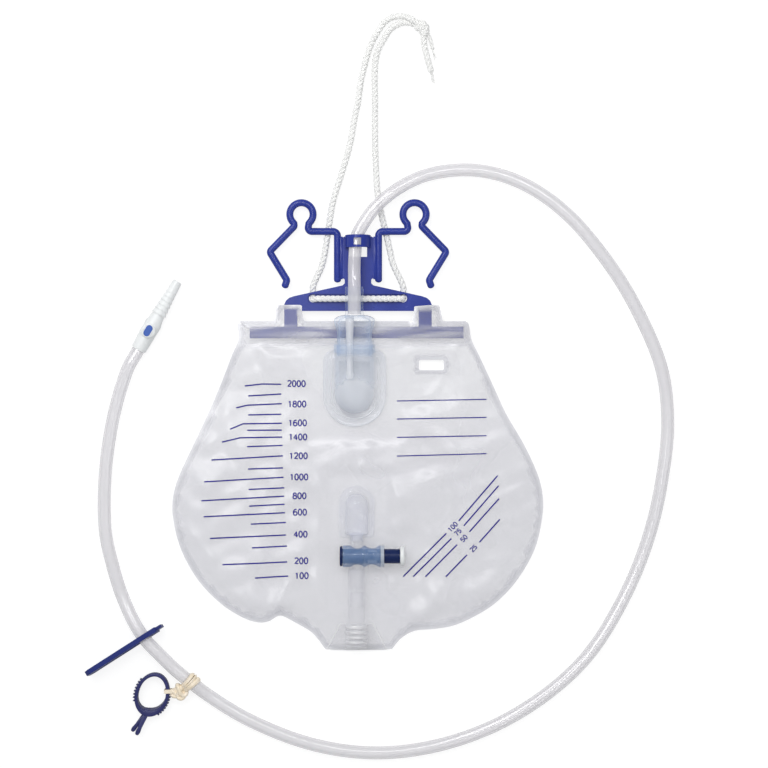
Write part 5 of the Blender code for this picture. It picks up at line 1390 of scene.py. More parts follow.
@dataclass
class BagFilms:
    """The two films, the spout's pocket and the hand slot's border."""

    form: BagForm
    palette: Palette
    front_step: float = 1.9
    back_step: float = 4.5
    rows_in: tuple[float, ...] = (1.3, 2.2, 3.2)

    def fill(self, step: float, holes: Sequence[Outline]) -> Sheet:
        """Triangulate the outline.

        Args:
            step: How far apart the inner points are.
            holes: Outlines that stay open.

        Returns:
            The flat layer, with its faces turned up.
        """
        form = self.form
        points: list[Vector] = []
        edges: list[tuple[int, int]] = []
        for loop in [form.outline, *holes]:
            first = len(points)
            points += [Vector(p) for p in loop]
            edges += [(first + k, first + (k + 1) % len(loop)) for k in range(len(loop))]
        grid = []
        for row, d in enumerate(np.arange(-9.0, 243.0, step * 0.87)):
            grid += [(x, d) for x in np.arange(-150.0 + (row % 2) * step / 2, 150.0, step)]
        x, d = np.array(grid).T
        edge = near = form.edge(x, d)
        for hole in holes:
            for start, end in zip(hole, hole[1:] + hole[:1]):
                near = np.minimum(near, form.span_distance(x, d, *start, *end))
        keep = form.within(x, d) & (near > step * 0.42) & (edge > self.rows_in[-1] + 0.6)
        points += [Vector(p) for p in np.array(grid)[keep]]
        for by in self.rows_in:
            row = np.array(inset(form.outline, -by))
            fits = form.within(*row.T) & (form.edge(*row.T) > by * 0.94)
            points += [Vector(p) for p in row[fits]]
        found = delaunay_2d_cdt(points, edges, [], 0, 1e-5)
        flat = np.array([tuple(v) for v in found[0]])
        faces = [list(f) for f in found[2]]
        middles = np.array([flat[f].mean(axis=0) for f in faces])
        inside = form.within(*middles.T)
        for hole in holes:
            xs, ds = zip(*hole)
            box = (min(xs), max(xs), min(ds), max(ds))
            inside &= form.box_distance(*middles.T, box) > 0
        faces = [f for f, ok in zip(faces, inside) if ok]
        used = sorted({i for f in faces for i in f})
        number = {old: new for new, old in enumerate(used)}
        faces = [[number[i] for i in f] for f in faces]
        flat = flat[used]
        a, b, c = flat[faces[0]]
        clockwise = (b[0] - a[0]) * (c[1] - a[1]) - (b[1] - a[1]) * (c[0] - a[0]) > 0
        return Sheet(flat, [f[::-1] for f in faces] if clockwise else faces)

    def make_film(self, name: str, height: Callable, step: float) -> None:
        """One film with its weld marks.

        Args:
            name: The film's name.
            height: Its underside's height.
            step: Its mesh's spacing.
        """
        x0, x1, d0, d1 = self.form.HAND_SLOT
        hole = arc(x1 - 1, d0 + 1, 1, -90, 0, 4) + arc(x1 - 1, d1 - 1, 1, 0, 90, 4)
        hole += arc(x0 + 1, d1 - 1, 1, 90, 180, 4) + arc(x0 + 1, d0 + 1, 1, 180, 270, 4)
        layer = self.fill(step, [hole])
        x, d = layer.points[:, 0], layer.points[:, 1]
        obj = make("visible_" + name, layer.slab(height(x, d), FILM), self.palette.film, 60, merge=False,
            stands_for="bag_" + name)
        paint(obj, "weld", np.tile(self.form.weld(x, d), 2))

    def make_pocket(self) -> None:
        """The film pocket that stands over the spout."""
        top, bottom = 223.6, 242.4
        around, low, spans = 7.4, OUTLET_BACK, 66
        rows, welds_and_rib_highlights = [], []
        for k in range(spans + 1):
            along = k / spans
            full = 1.0 - ease((along - 0.8) / 0.2)
            half = 12.4 + 10.1 * along
            # The film takes the spout's ribs on, and folds on its slanting sides
            rib = 0.5 + 0.5 * math.cos(math.tau * ((bottom - top) * along - 1.6) / 3.6)
            swell = around + 0.75 * (rib ** 1.6 - 0.5) * ease((0.84 - along) / 0.08)
            line = [(half, low), (half - 0.8, low), (half - 1.5, low)]
            for share in (0.12, 0.24, 0.36, 0.48, 0.62, 0.8):
                reach = half - 1.5 + (swell - half + 1.5) * share
                fold = math.exp(-((share - 0.28 - 0.22 * along) / 0.13) ** 2) * ease(along / 0.3)
                line.append((reach, low + (TAP_Z - low) * full * (share ** 1.7) * 0.8 + 1.3 * fold * full))
            line += [(x, low + (z - low) * full) for x, z in arc(0, TAP_Z, swell, 0, 90, 10)]
            line += [(-x, z) for x, z in line[-2::-1]]
            rows.append([at(OUTLET_X + x, top + (bottom - top) * along, z) for x, z in line])
            # Welded edges are whiter; over the rib crests the film is also whitened in bands, a painted
            # highlight on the ribs under it.
            welds_and_rib_highlights.append([0.6 if i in (0, 1, len(line) - 1, len(line) - 2) or k in (0, spans) else 0.35
                if k in (1, 2, spans - 1, spans - 2) else 0.3 * rib if 9 < i < len(line) - 10 else 0.0
                for i in range(len(line))])
        count = len(rows[0])
        faces = [[r * count + i, r * count + i + 1, (r + 1) * count + i + 1, (r + 1) * count + i]
            for r in range(spans) for i in range(count - 1)]
        mesh = bpy.data.meshes.new("pocket_skin")
        mesh.from_pydata([v * MM for row in rows for v in row], [], faces)
        mesh.update()
        normals = [v.normal.copy() for v in mesh.vertices]
        sign = 1 if sum(n.z for n in normals) > 0 else -1
        under = [v for row in rows for v in row]
        over = [v + n * sign * FILM for v, n in zip(under, normals)]
        bpy.data.meshes.remove(mesh)
        layer = Sheet(np.zeros((len(under), 2)), [f if sign > 0 else f[::-1] for f in faces])
        shape = layer.slab(np.zeros(len(under)), FILM)
        shape.vertices = under + over
        obj = make("visible_outlet_pocket", shape, self.palette.pocket, 60, merge=False,
            stands_for="outlet_pocket")
        paint(obj, "weld", np.tile(np.array(welds_and_rib_highlights).ravel(), 2))

    def build(self) -> None:
        """Make both films and the pocket."""
        self.make_film("front_film", self.form.front, self.front_step)
        self.make_film("back_film", self.form.back, self.back_step)
        self.make_pocket()


@dataclass
class PrintedMarks:
    """The printed volume scales and the ruled write-on lines, in ink on the front film."""

    form: BagForm
    palette: Palette
    line_width: float = 1.0
    # Left scale: each line's points, then each number and its depth
    scale: tuple = ([(-82.9, 49.6), (-70, 48.2), (-56.2, 48.4)], [(-80.3, 56.9), (-56.2, 55.5)],
        [(-89.1, 65.6), (-81, 63.7), (-55.8, 62.6)], [(-80.3, 70.8), (-56.2, 70.3)],
        [(-93.4, 81.2), (-84.2, 77.3), (-55.8, 76.9)], [(-81, 82), (-55.8, 81.9)],
        [(-99.6, 90.7), (-86.1, 87.5), (-55.5, 87)], [(-81, 94), (-55.2, 93.1)],
        [(-107.3, 103.8), (-55, 100.7)], [(-80.3, 110.4), (-54.8, 109.5)], [(-112.4, 119.7), (-54.5, 116.4)],
        [(-80, 125.3), (-54, 124.1)], [(-114.6, 133.6), (-54, 130.2)], [(-79.6, 137.5), (-53.8, 136.1)],
        [(-112.9, 145.3), (-53.5, 142.3)], [(-78.4, 150.7), (-52.8, 149.4)],
        [(-108.3, 161.2), (-52.8, 158.6)], [(-77.5, 168), (-52, 166.7)], [(-99.1, 180.3), (-51.8, 178.3)],
        [(-75.3, 190.1), (-51.1, 188.6)],)
    numbers: tuple = (("2000", 47.9), ("1800", 62.8), ("1600", 76.6), ("1400", 86.9), ("1200", 100.7),
        ("1000", 116.1), ("800", 129.9), ("600", 141.9), ("400", 158.0), ("200", 177.4), ("100", 188.3),)
    # Slanted scale: number, two lines and the number's middle
    slanted: tuple = (("100", [(33.1, 189.1), (64.5, 157.4)], [(73.7, 148.2), (102.1, 115.2)], (69.2, 152.6)),
        ("75", [(40.4, 189.1), (68.2, 161.2)], [(77.4, 151.8), (102.8, 122.6)], (72.9, 156.5)),
        ("50", [(49.3, 189.1), (72.4, 165.7)], [(81.5, 156.2), (103.1, 132)], (77.4, 161.1)),
        ("25", [(64.2, 189.1), (79.7, 173.2)], [(88.8, 163.9), (103.7, 147.2)], (84.4, 168.5)),)
    write_on: tuple = ([(28.5, 60.6), (94, 59.4)], [(28.5, 73.8), (94, 72.6)], [(28.5, 87.2), (94, 86)],
        [(28.5, 100.9), (93.9, 99.1)],)

    def ribbon(self, line: Outline, width: float) -> Sheet:
        """A flat ribbon along a line.

        Args:
            line: Its (x, depth) corners.
            width: Its width.

        Returns:
            The flat layer.
        """
        points = []
        for a, b in zip(line, line[1:]):
            a, b = Vector(a), Vector(b)
            steps = max(2, round((b - a).length / 1.6))
            points += [a.lerp(b, k / steps) for k in range(steps)]
        points.append(Vector(line[-1]))
        flat = []
        for k, p in enumerate(points):
            along = (points[min(k + 1, len(points) - 1)] - points[max(k - 1, 0)]).normalized()
            side = Vector((-along.y, along.x)) * width / 2
            flat += [tuple(p - side), tuple(p + side)]
        faces = [[2 * k, 2 * k + 1, 2 * k + 3, 2 * k + 2] for k in range(len(points) - 1)]
        return Sheet(np.array(flat), faces)

    def strokes(self, digit: str) -> list[list[tuple[float, float]]]:
        """A digit's pen strokes in a box one unit high.

        Args:
            digit: The digit.

        Returns:
            For each stroke its points, as (right, up) from the middle.
        """
        bowl = arc(0, 0.22, 0.26, 160, -30, 12, 0.96)
        low = arc(0, -0.2, 0.27, 0, 360, 20, 1.0)
        figures = {"0": [arc(0, 0, 0.26, 0, 360, 26, 1.78)], "1": [[(-0.17, 0.27), (0.02, 0.44),
            (0.02, -0.46)]], "2": [bowl + [(-0.26, -0.42), (0.28, -0.42)]],
            "4": [[(0.12, -0.46), (0.12, 0.42), (-0.28, -0.18), (0.3, -0.18)]],
            "5": [[(0.25, 0.42), (-0.2, 0.42), (-0.23, 0.02)] + arc(0, -0.16, 0.27, 140, -150, 14, 1.0)],
            "6": [low, [(0.2, 0.4)] + arc(0.06, 0.0, 0.33, 100, 190, 8, 1.25)],
            "7": [[(-0.26, 0.42), (0.26, 0.42), (-0.08, -0.46)]], "8": [low,
            arc(0, 0.22, 0.22, 0, 360, 18, 1.0)]}
        return figures[digit]

    def number(self, text: str, middle: tuple[float, float], degrees: float = 0.0,
            height: float = 4.7) -> list[Sheet]:
        """A bold number drawn with round pen strokes.

        Args:
            text: Its digits.
            middle: Its middle as (x, depth).
            degrees: How far it is turned anticlockwise.
            height: Its height.

        Returns:
            The flat layers.
        """
        layers = []
        cos, sin = math.cos(math.radians(degrees)), math.sin(math.radians(degrees))
        for k, digit in enumerate(text):
            start = (k - (len(text) - 1) / 2) * 0.735 * height
            for stroke in self.strokes(digit):
                line = []
                for right, up in stroke:
                    right, up = start + right * height, up * height
                    line.append((middle[0] + right * cos - up * sin, middle[1] - right * sin - up * cos))
                layers.append(self.ribbon(line, height * 0.185))
        return layers

    def lay(self, name: str, layers: Sequence[Sheet]) -> None:
        """Lay flat marks on the front film as one thin piece of ink.

        Args:
            name: The piece's name.
            layers: The marks.
        """
        shape = Shape()
        for layer in layers:
            x, d = layer.points.T
            shape.add(layer.slab(self.form.front(x, d) + FILM + 0.03, INK_PROUD))
        make(name, shape, self.palette.ink, 60)

    def build(self) -> None:
        """Print the scales and the write-on lines."""
        marks = [self.ribbon(line, self.line_width) for line in self.scale]
        first, last = self.numbers[0][1], self.numbers[-1][1]
        for text, depth in self.numbers:
            marks += self.number(text, (-45.0 + 3.8 * (depth - first) / (last - first), depth))
        self.lay("printed_volume_scale", marks)
        marks = []
        for text, lower, upper, middle in self.slanted:
            marks += [self.ribbon(lower, self.line_width), self.ribbon(upper, self.line_width)]
            marks += self.number(text, middle, 46.0, 3.7)
        self.lay("printed_slanted_scale", marks)
        self.lay("printed_write_on_lines", [self.ribbon(line, 0.8) for line in self.write_on])


# Hanger


@dataclass
class Hanger:
    """The hanger plate, its two hooks and the thin hinges between them."""

    palette: Palette
    nodes: dict[str, Piece]
    hinge_x: float = 10.95
    hinge_depths: tuple[float, float] = (-28.2, -59.4)
    web: float = 0.5
    hook_half: float = 2.6
    hook_height: float = 3.4
    ring: tuple[float, float, float] = (41.3, -75.7, 8.5)
    stem_x: float = 15.0

    def hook_line(self) -> list[Vector]:
        """The right hook's centre line.

        Returns:
            (x, depth) points from the stem's foot to the open end.
        """
        rx, rd, radius = self.ring
        ring = [(x, -up) for x, up in arc(rx, -rd, radius, 230, -50, 56)]
        lead = rounded_path([(self.stem_x, -27.8), (self.stem_x, -63.2), (36.8, -63.2), ring[0]], [3.2, 2.6])
        tail = rounded_path([ring[-1], (46.6, -66.9), (64.6, -48.4), (51.9, -27.6), (53.3, -23.6)],
            [2, 2.4, 2.2])
        line = [Vector(p) for p in lead[:-1]] + [Vector(p) for p in ring] + tail[1:]
        return [p for k, p in enumerate(line) if k == 0 or (p - line[k - 1]).length > 0.2]

    def section(self, share: float) -> Outline:
        """The hook's rounded section.

        Args:
            share: How wide it is there, 1 in full.

        Returns:
            (across, up) points.
        """
        half, top = self.hook_half, self.hook_height
        line = [(half - 0.45, 0.0), (half - 0.12, 0.12), (half, 0.45), (half, 0.9)]
        line += arc(0, 0.9, half, 16, 164, 14, (top - 0.9) / half)
        line += [(-half, 0.9), (-half, 0.45), (-half + 0.12, 0.12), (-half + 0.45, 0.0)]
        return [(u * share, 0.9 + (z - 0.9) * (0.35 + 0.65 * share)) for u, z in line]

    def make_hook(self, name: str, side: int, body: Body) -> None:
        """One hook with the web that joins its hinge.

        Args:
            name: The hook's CAD node.
            side: -1 for the left hook, 1 for the right.
            body: Its body.
        """
        line, rings = self.hook_line(), []
        count = len(line)
        for k, point in enumerate(line):
            before, after = line[max(k - 1, 0)], line[min(k + 1, count - 1)]
            along = (after - before).normalized()
            across = Vector((-along.y, along.x))
            outward, caps = -along if k == 0 else along, []
            for a in (0, 25, 50, 70, 84) if k in (0, count - 1) else (0,):
                out = outward * self.hook_half * 0.75 * math.sin(math.radians(a))
                spots = [(point + across * u + out, z) for u, z in self.section(math.cos(math.radians(a)))]
                caps.append([at(side * spot.x, spot.y, HANGER_Z + z) for spot, z in spots])
            rings += caps[::-1] if k == 0 else caps
        shape = loft(rings)
        x0, x1 = self.hinge_x + 0.3, self.stem_x - self.hook_half + 0.8
        top = HANGER_Z + PLATE
        ends = [at(0, d).y for d in self.hinge_depths]
        web = plate([(x0, ends[0]), (x1, ends[0]), (x1, ends[1]), (x0, ends[1])],
            [(0.08, top - self.web), (0, top - self.web + 0.08), (0, top - 0.08), (0.08, top)])
        if side < 0:
            web = web.moved(Matrix.Diagonal((-1, 1, 1, 1)))
        make("visible_" + name, shape.add(web), self.palette.blue, 50, body=body, stands_for=name)

    def make_hinge(self, name: str, side: int) -> None:
        """The thin strip of the hinge between the plate and a hook.

        Args:
            name: The strip's name.
            side: -1 for the left, 1 for the right.
        """
        top = HANGER_Z + PLATE
        ends = [at(0, d).y for d in self.hinge_depths]
        rings = []
        for k in range(9):
            x = side * (self.hinge_x - 1.0 + 1.7 * k / 8)
            thin = 0.06 * math.sin(math.pi * k / 8)
            low, high = top - self.web + 0.03 + thin, top - 0.03 - thin
            rings.append([(x, ends[0] + 0.5, low), (x, ends[1] - 0.5, low), (x, ends[1] - 0.5, high),
                (x, ends[0] + 0.5, high)])
        obj = mesh_piece(name, loft(rings), self.palette.blue.material)
        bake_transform(obj)

    def make_eyelets(self) -> None:
        """The thin rims that narrow the two cord holes."""
        shape = Shape()
        for side in (-1, 1):
            outer, inner = [], []
            for a in turn_angles(32):
                across, up = math.cos(a), math.sin(a)
                reach = min(3.3 / max(abs(across), 1e-6), 3.7 / max(abs(up), 1e-6))
                outer.append((side * 33.3 + across * reach, TOP_Y + 14.0 + up * reach))
                inner.append((side * 33.0 + 2.8 * across, TOP_Y + 14.3 + 2.8 * up))
            low, high = HANGER_Z + 0.2, HANGER_Z + 1.1
            shape.add(loft([[(x, y, z) for x, y in ring] for ring, z in ((outer, low), (outer, high),
                (inner, high), (inner, low))], wrap=True))
        make("cord_hole_rims", shape, self.palette.blue)

    def build(self) -> None:
        """Make the plate, the hooks and the hinges."""
        self.make_eyelets()
        rounded_node(self.nodes, "hanger_plate", "visible_hanger", self.palette.blue, 0.35)
        self.make_hook("left_hook", -1, Body.LEFT_HOOK)
        self.make_hook("right_hook", 1, Body.RIGHT_HOOK)
        self.make_hinge("left_hinge_strip", -1)
        self.make_hinge("right_hinge_strip", 1)


# Drip chamber


@dataclass
class DripChamber:
    """The domed chamber with its welding flange, mouth ring, stopper, nozzle and flap."""

    palette: Palette
    flange: tuple[float, float, float] = (23, 57, 1.2)
    half: float = 14.4
    arc_z: float = 4.6
    back: float = 1.3
    wall: float = 1.2
    mouth: float = 6.0
    end: float = -32.35
    collar_r: float = 6.65
    collar_end: float = 45.6
    # Sets the nozzle, and so its painted highlight streak, aside of the chamber's middle.
    nozzle_highlight_aside: float = 3.4
    ring_drop: float = 2.6

    @property
    def frame(self) -> Matrix:
        """Places the chamber's own frame on the bag."""
        return Matrix.Translation(at(*CHAMBER_AT)) @ turn(CHAMBER_TILT, "X")

    def make_flange(self) -> None:
        """The tongue-shaped flange with a raised inner step."""
        half, length, thick = self.flange
        low = -(length - half)
        outline = (arc(half - 9, -9, 9, 0, 90, 12) + arc(-half + 9, -9, 9, 90, 180, 12)
            + arc(0, low, half, 180, 360, 56)[1:-1])
        levels = [(0.35, 0), (0.1, 0.1), (0, 0.35), (0.0, thick - 0.1), (0.25, thick + 0.3),
            (0.8, thick + 0.5), (1.4, thick + 0.3), (1.8, thick), (5.0, thick), (5.4, thick + 0.35),
            (6.0, thick + 0.75), (6.7, thick + 0.55), (7.2, thick + 0.2), (8.0, thick + 0.1)]
        make("visible_chamber_flange", plate(outline, levels).moved(self.frame), self.palette.flange, 60)

    def make_dome(self) -> None:
        """The dome, frosted where it lies full of old droplets."""
        angles = (8, 16, 24, 32, 40, 48, 56, 64, 72, 79, 85)
        outer, inner = [vault(self.half - wall, self.arc_z, self.back + wall, self.mouth, self.end, 12,
            angles) for wall in (0.0, self.wall)]
        shape = loft(outer[::-1] + inner)
        obj = make("visible_chamber_dome", shape.moved(self.frame), self.palette.clear, 60,
            stands_for="drip_chamber")
        inverse = self.frame.inverted()
        values = []
        half_way = len(obj.data.vertices) / 2
        for v in obj.data.vertices:
            x, y, z = inverse @ (v.co / MM)
            level = -17.0 - 9.0 * (x / self.half) ** 2 + 0.4 * math.sin(x * 0.9)
            above = v.index < half_way and z > self.back + 1.0
            values.append(0.16 + 0.56 * float(ease((level - y) / 4.0)) if above else 0.0)
        paint(obj, "frost", values)

    def make_mouth_ring(self) -> None:
        """The thick ring round the dome's mouth."""
        profile = [(y + self.mouth - self.ring_drop, out) for y, out in ((-6, -0.9), (-6, 0.1), (-5.7, 0.5),
            (-5.1, 0.6), (-1.6, 0.6), (-1.3, 0.3), (-0.9, 0.3), (-0.6, 0.6), (-0.1, 0.5), (0, 0.2),
            (0, -0.9))]
        rings = [arch(y, self.half + out, self.arc_z, self.back - min(out, 0)) for y, out in profile]
        make("visible_mouth_ring", loft(rings, wrap=True).moved(self.frame), self.palette.ring, 40)

    def make_stopper(self) -> None:
        """The stopper's domed cap, neck and skirt as one hollow shell."""
        disc, neck, skirt, hole = 14.85, 13.3, 12.6, 7.2
        # Each ring: its height up the chamber, its half width and how far its back is lifted
        profile = [(24.9, hole, 2.2), (24.6, 9.5, 1.4), (23.9, 11.8, 0.6), (23, 13.6, 0.2), (22.2, 14.5, 0),
            (21.3, disc, 0.0), (19.8, disc, 0.0), (18.2, 14.5, 0), (16.4, 13.9, 0), (14.8, neck, 0.0),
            (13.2, neck - 0.5, 0.0), (self.mouth - 1.0, neck - 0.6, 0.0), (self.mouth - 2.9, skirt, 1.5),
            (-4.5, skirt, 1.5), (-4.5, skirt - 1.0, 2.5), (self.mouth, skirt - 1.0, 2.5),
            (15.4, skirt - 1.0, 2.5), (19.4, skirt - 0.2, 2.4), (22, 11.2, 2.4), (23.2, hole, 3.0)]
        rings = [arch(y, half, COLLAR_Z if half == hole else self.arc_z, self.back + lift) for y, half,
            lift in profile]
        make("visible_stopper", loft(rings, wrap=True).moved(self.frame), self.palette.stopper, 35,
            stands_for="chamber_stopper")

    def make_collar(self) -> None:
        """The tube's collar on the stopper and the drip nozzle that leads on from it, the nozzle's white a
        painted highlight.
        """
        r, end, bore = self.collar_r, self.collar_end, 5.0
        profile = [(24.3, bore), (24.3, r + 0.5), (25.0, r + 0.6), (25.8, r + 0.05), (27.0, r - 0.1),
            (end - 6.5, r - 0.25), (end - 5.9, r - 0.2), (end - 5.2, r), (end - 0.5, r),
            (end - 0.1, r - 0.25), (end, r - 0.6), (end, bore + 0.2), (end - 0.4, bore)]
        upright = self.frame @ shift(0, 0, COLLAR_Z) @ turn(-90, "X")
        shape = lathe(profile).moved(upright)
        make("visible_tube_collar", shape, self.palette.clear, 40)
        # The real nozzle is clear; it is made milky white and set aside of the middle to paint the bright
        # reflection streak down it.
        nozzle = [(-21.5, 1.4), (-21.5, 1.9), (-20.9, 2.4), (-18, 2.7), (-15.5, 2.3), (-6, 2.1), (14, 2.7),
            (23.9, 3.2), (23.9, 1.6)]
        make("visible_drip_nozzle", lathe(nozzle, 40).moved(self.frame @ shift(-self.nozzle_highlight_aside, 0,
            COLLAR_Z) @ turn(-90, "X")), self.palette.ribs, 40)

    def make_flap(self) -> None:
        """The soft valve flap behind the chamber."""
        outline = [(11.5, -9), (-11.5, -9)] + arc(0, -39.5, 11.5, 180, 360, 28)
        under = -(FILM + 2 * GAP)
        levels = [(0.15, under - 0.5), (0.0, under - 0.35), (0.0, under - 0.15), (0.15, under)]
        make("visible_valve_flap", plate(outline, levels).moved(self.frame), self.palette.film, 60,
            stands_for="non_return_valve")

    def build(self) -> None:
        """Make every part of the chamber."""
        self.make_flange()
        self.make_dome()
        self.make_mouth_ring()
        self.make_stopper()
        self.make_collar()
        self.make_flap()


# Outlet, tap and spout


@dataclass
class DrainOutlet:
    """The milky port on the front film with its dome and spigot."""

    palette: Palette
    half: float = 13.0
    top: float = 122.6
    bottom: float = 160.6
    thick: float = 1.0
    dome_half: float = 8.1
    dome_bottom: float = 157.6
    dome_top: float = 128.5
    arc_z: float = 6.3
    spigot_r: float = 4.65
    spigot_end: float = 162.4

    def build(self) -> None:
        """Make the port."""
        place = Matrix.Translation(at(OUTLET_X, 0, 0))
        outline = arc(0, -(self.top + self.half), self.half, 0, 180, 44)
        outline += arc(-self.half + 4, -self.bottom + 4, 4, 180, 270, 8)
        outline += arc(self.half - 4, -self.bottom + 4, 4, 270, 360, 8)
        low, high = OUTLET_BACK, OUTLET_BACK + self.thick
        shape = plate(outline, [(0.3, low), (0.0, low + 0.3), (0.0, high - 0.1), (0.25, high + 0.2),
            (0.8, high + 0.35), (1.3, high + 0.2), (1.7, high), (2.6, high), (2.9, high + 0.2),
            (3.3, high + 0.5), (3.9, high + 0.5), (4.3, high + 0.2)])

        angles = (10, 20, 30, 40, 50, 60, 70, 78, 85)
        outer = vault(self.dome_half, self.arc_z, high - 0.1, -self.dome_bottom,
            -(self.dome_top + self.dome_half), 6, angles, 28)
        start = self.dome_bottom + 0.45
        outer.insert(0, arch(-start, self.dome_half - 0.5, self.arc_z, high - 0.1, 28))
        shape.add(loft(outer))
        along = shift(0, 0, TAP_Z) @ turn(90, "X")
        r = self.spigot_r
        shape.add(lathe([(self.dome_bottom - 1, 3.3), (self.dome_bottom - 1, r + 0.5),
            (self.dome_bottom + 0.7, r + 0.45), (self.dome_bottom + 1.2, r), (self.spigot_end - 0.3, r),
            (self.spigot_end, r - 0.3), (self.spigot_end, 3.3)], 48).moved(along))
        make("visible_drain_outlet", shape.moved(place), self.palette.port, 45, stands_for="drain_outlet")


@dataclass
class CrossTap:
    """The push tap: scalloped body, sliding piston with two rings, end discs."""

    palette: Palette
    body_r: float = 7.75
    left: float = -10.1
    right: float = 20.1
    bore: float = 5.32
    piston_r: float = 5.25
    stroke: float = 11.5
    disc_r: float = 7.3
    scallops: tuple[float, ...] = (0.6, 11.3)
    scallop_r: float = 6.6
    scallop_cut: float = 2.3
    seal_r: float = 0.65
    rim: float = 2.6

    @property
    def lying(self) -> Matrix:
        """Turns Z along the tap's axis and places it."""
        return Matrix.Translation(at(OUTLET_X, TAP_DEPTH, TAP_Z)) @ turn(90, "Y")

    def make_body(self) -> None:
        """The tinted body with its necks."""
        r = self.body_r
        profile = [(self.left, self.bore), (self.left, r - 0.5), (self.left + 0.15, r - 0.15),
            (self.left + 0.5, r)]
        last = self.right - self.rim
        profile += [(self.left + 0.5 + (last - self.left - 0.5) * k / 44, r) for k in range(1, 45)]
        profile.append((last, self.bore))
        shape = lathe(profile, 72)
        reach = r - self.scallop_cut + self.scallop_r
        for v in shape.vertices:
            for middle in self.scallops:
                away = v.z - middle
                if abs(away) < self.scallop_r:
                    limit = reach - math.sqrt(self.scallop_r ** 2 - away * away)
                    if math.hypot(v.x, v.y) > self.bore + 0.1:
                        v.y = max(-limit, min(limit, v.y))
        shape = shape.moved(self.lying)
        upright = Matrix.Translation(at(OUTLET_X, TAP_DEPTH, TAP_Z)) @ turn(-90, "X")
        upper = [(5.6, 2), (5.6, 4.9), (10.4, 5), (10.75, 5.15), (10.9, 4.9), (10.9, 3), (16.3, 3),
            (16.3, 1.8), (9, 1.8)]
        lower = [(-23.9, 3.1), (-23.9, 4.2), (-23.4, 4.5), (-9.8, 4.5), (-9.8, 5.4), (-9.5, 5.7), (-5.6, 5.4),
            (-5.6, 3.1)]
        make("visible_tap_necks", lathe(upper, 48).add(lathe(lower, 48)).moved(upright), self.palette.milky,
            38)
        clear_end = lathe([(last + 0.02, self.bore), (last + 0.02, r - 0.3), (last + 0.3, r - 0.02),
            (self.right - 0.4, r - 0.02), (self.right - 0.15, r - 0.15), (self.right, r - 0.5),
            (self.right, self.bore)], 72)
        make("visible_tap_rim", clear_end.moved(self.lying), self.palette.tap_end, 38)
        make("visible_tap_body", shape, self.palette.tap, 38, stands_for="tap_body")

    def make_piston(self) -> None:
        """The piston with its left disc, the white end disc and the two rings."""
        left, right = self.left - GAP, self.right + self.stroke
        groove = self.piston_r - 2 * self.seal_r - GAP
        seals = (self.stroke - 6.0, self.stroke + 6.0)
        profile = [(left - 1.8, 0), (left - 1.8, self.disc_r - 0.5), (left - 1.5, self.disc_r - 0.1),
            (left - 1.2, self.disc_r), (left - 0.3, self.disc_r), (left, self.disc_r - 0.3),
            (left, self.piston_r)]
        for centre, radius, half in ((seals[0], groove, 0.95), (self.stroke, 2.9, 3.4),
                (seals[1], groove, 0.95)):
            profile += [(centre - half, self.piston_r), (centre - half, radius), (centre + half, radius),
                (centre + half, self.piston_r)]
        profile += [(right - 0.2, self.piston_r), (right, self.piston_r - 0.2), (right, 0)]
        make("visible_piston", lathe(profile, 64).moved(self.lying), self.palette.piston, 35,
            body=Body.PISTON, stands_for="tap_piston")
        r, start = self.disc_r, right + GAP
        disc = [(start - 0.5, 0), (start - 0.5, 4.6), (start, 4.8), (start, r - 0.5),
            (start + 0.15, r - 0.15), (start + 0.5, r), (start + 2.3, r), (start + 2.6, r - 0.15),
            (start + 2.85, r - 0.6), (start + 2.9, r - 1.0), (start + 2.7, r - 1.4), (start + 2.7, 0)]
        make("visible_end_disc", lathe(disc, 64).moved(self.lying), self.palette.white, 35, body=Body.PISTON,
            stands_for="piston_end_disc")
        for centre, name in zip(seals, ("piston_seal_left", "piston_seal_right")):
            middle = groove + GAP / 2 + self.seal_r
            section = [(centre + self.seal_r * math.sin(a), middle + self.seal_r * math.cos(a))
                for a in turn_angles(12)]
            make("visible_" + name, lathe(section, 48).moved(self.lying), self.palette.seal, body=Body.PISTON,
                stands_for=name)

    def build(self) -> None:
        """Make the tap."""
        self.make_body()
        self.make_piston()


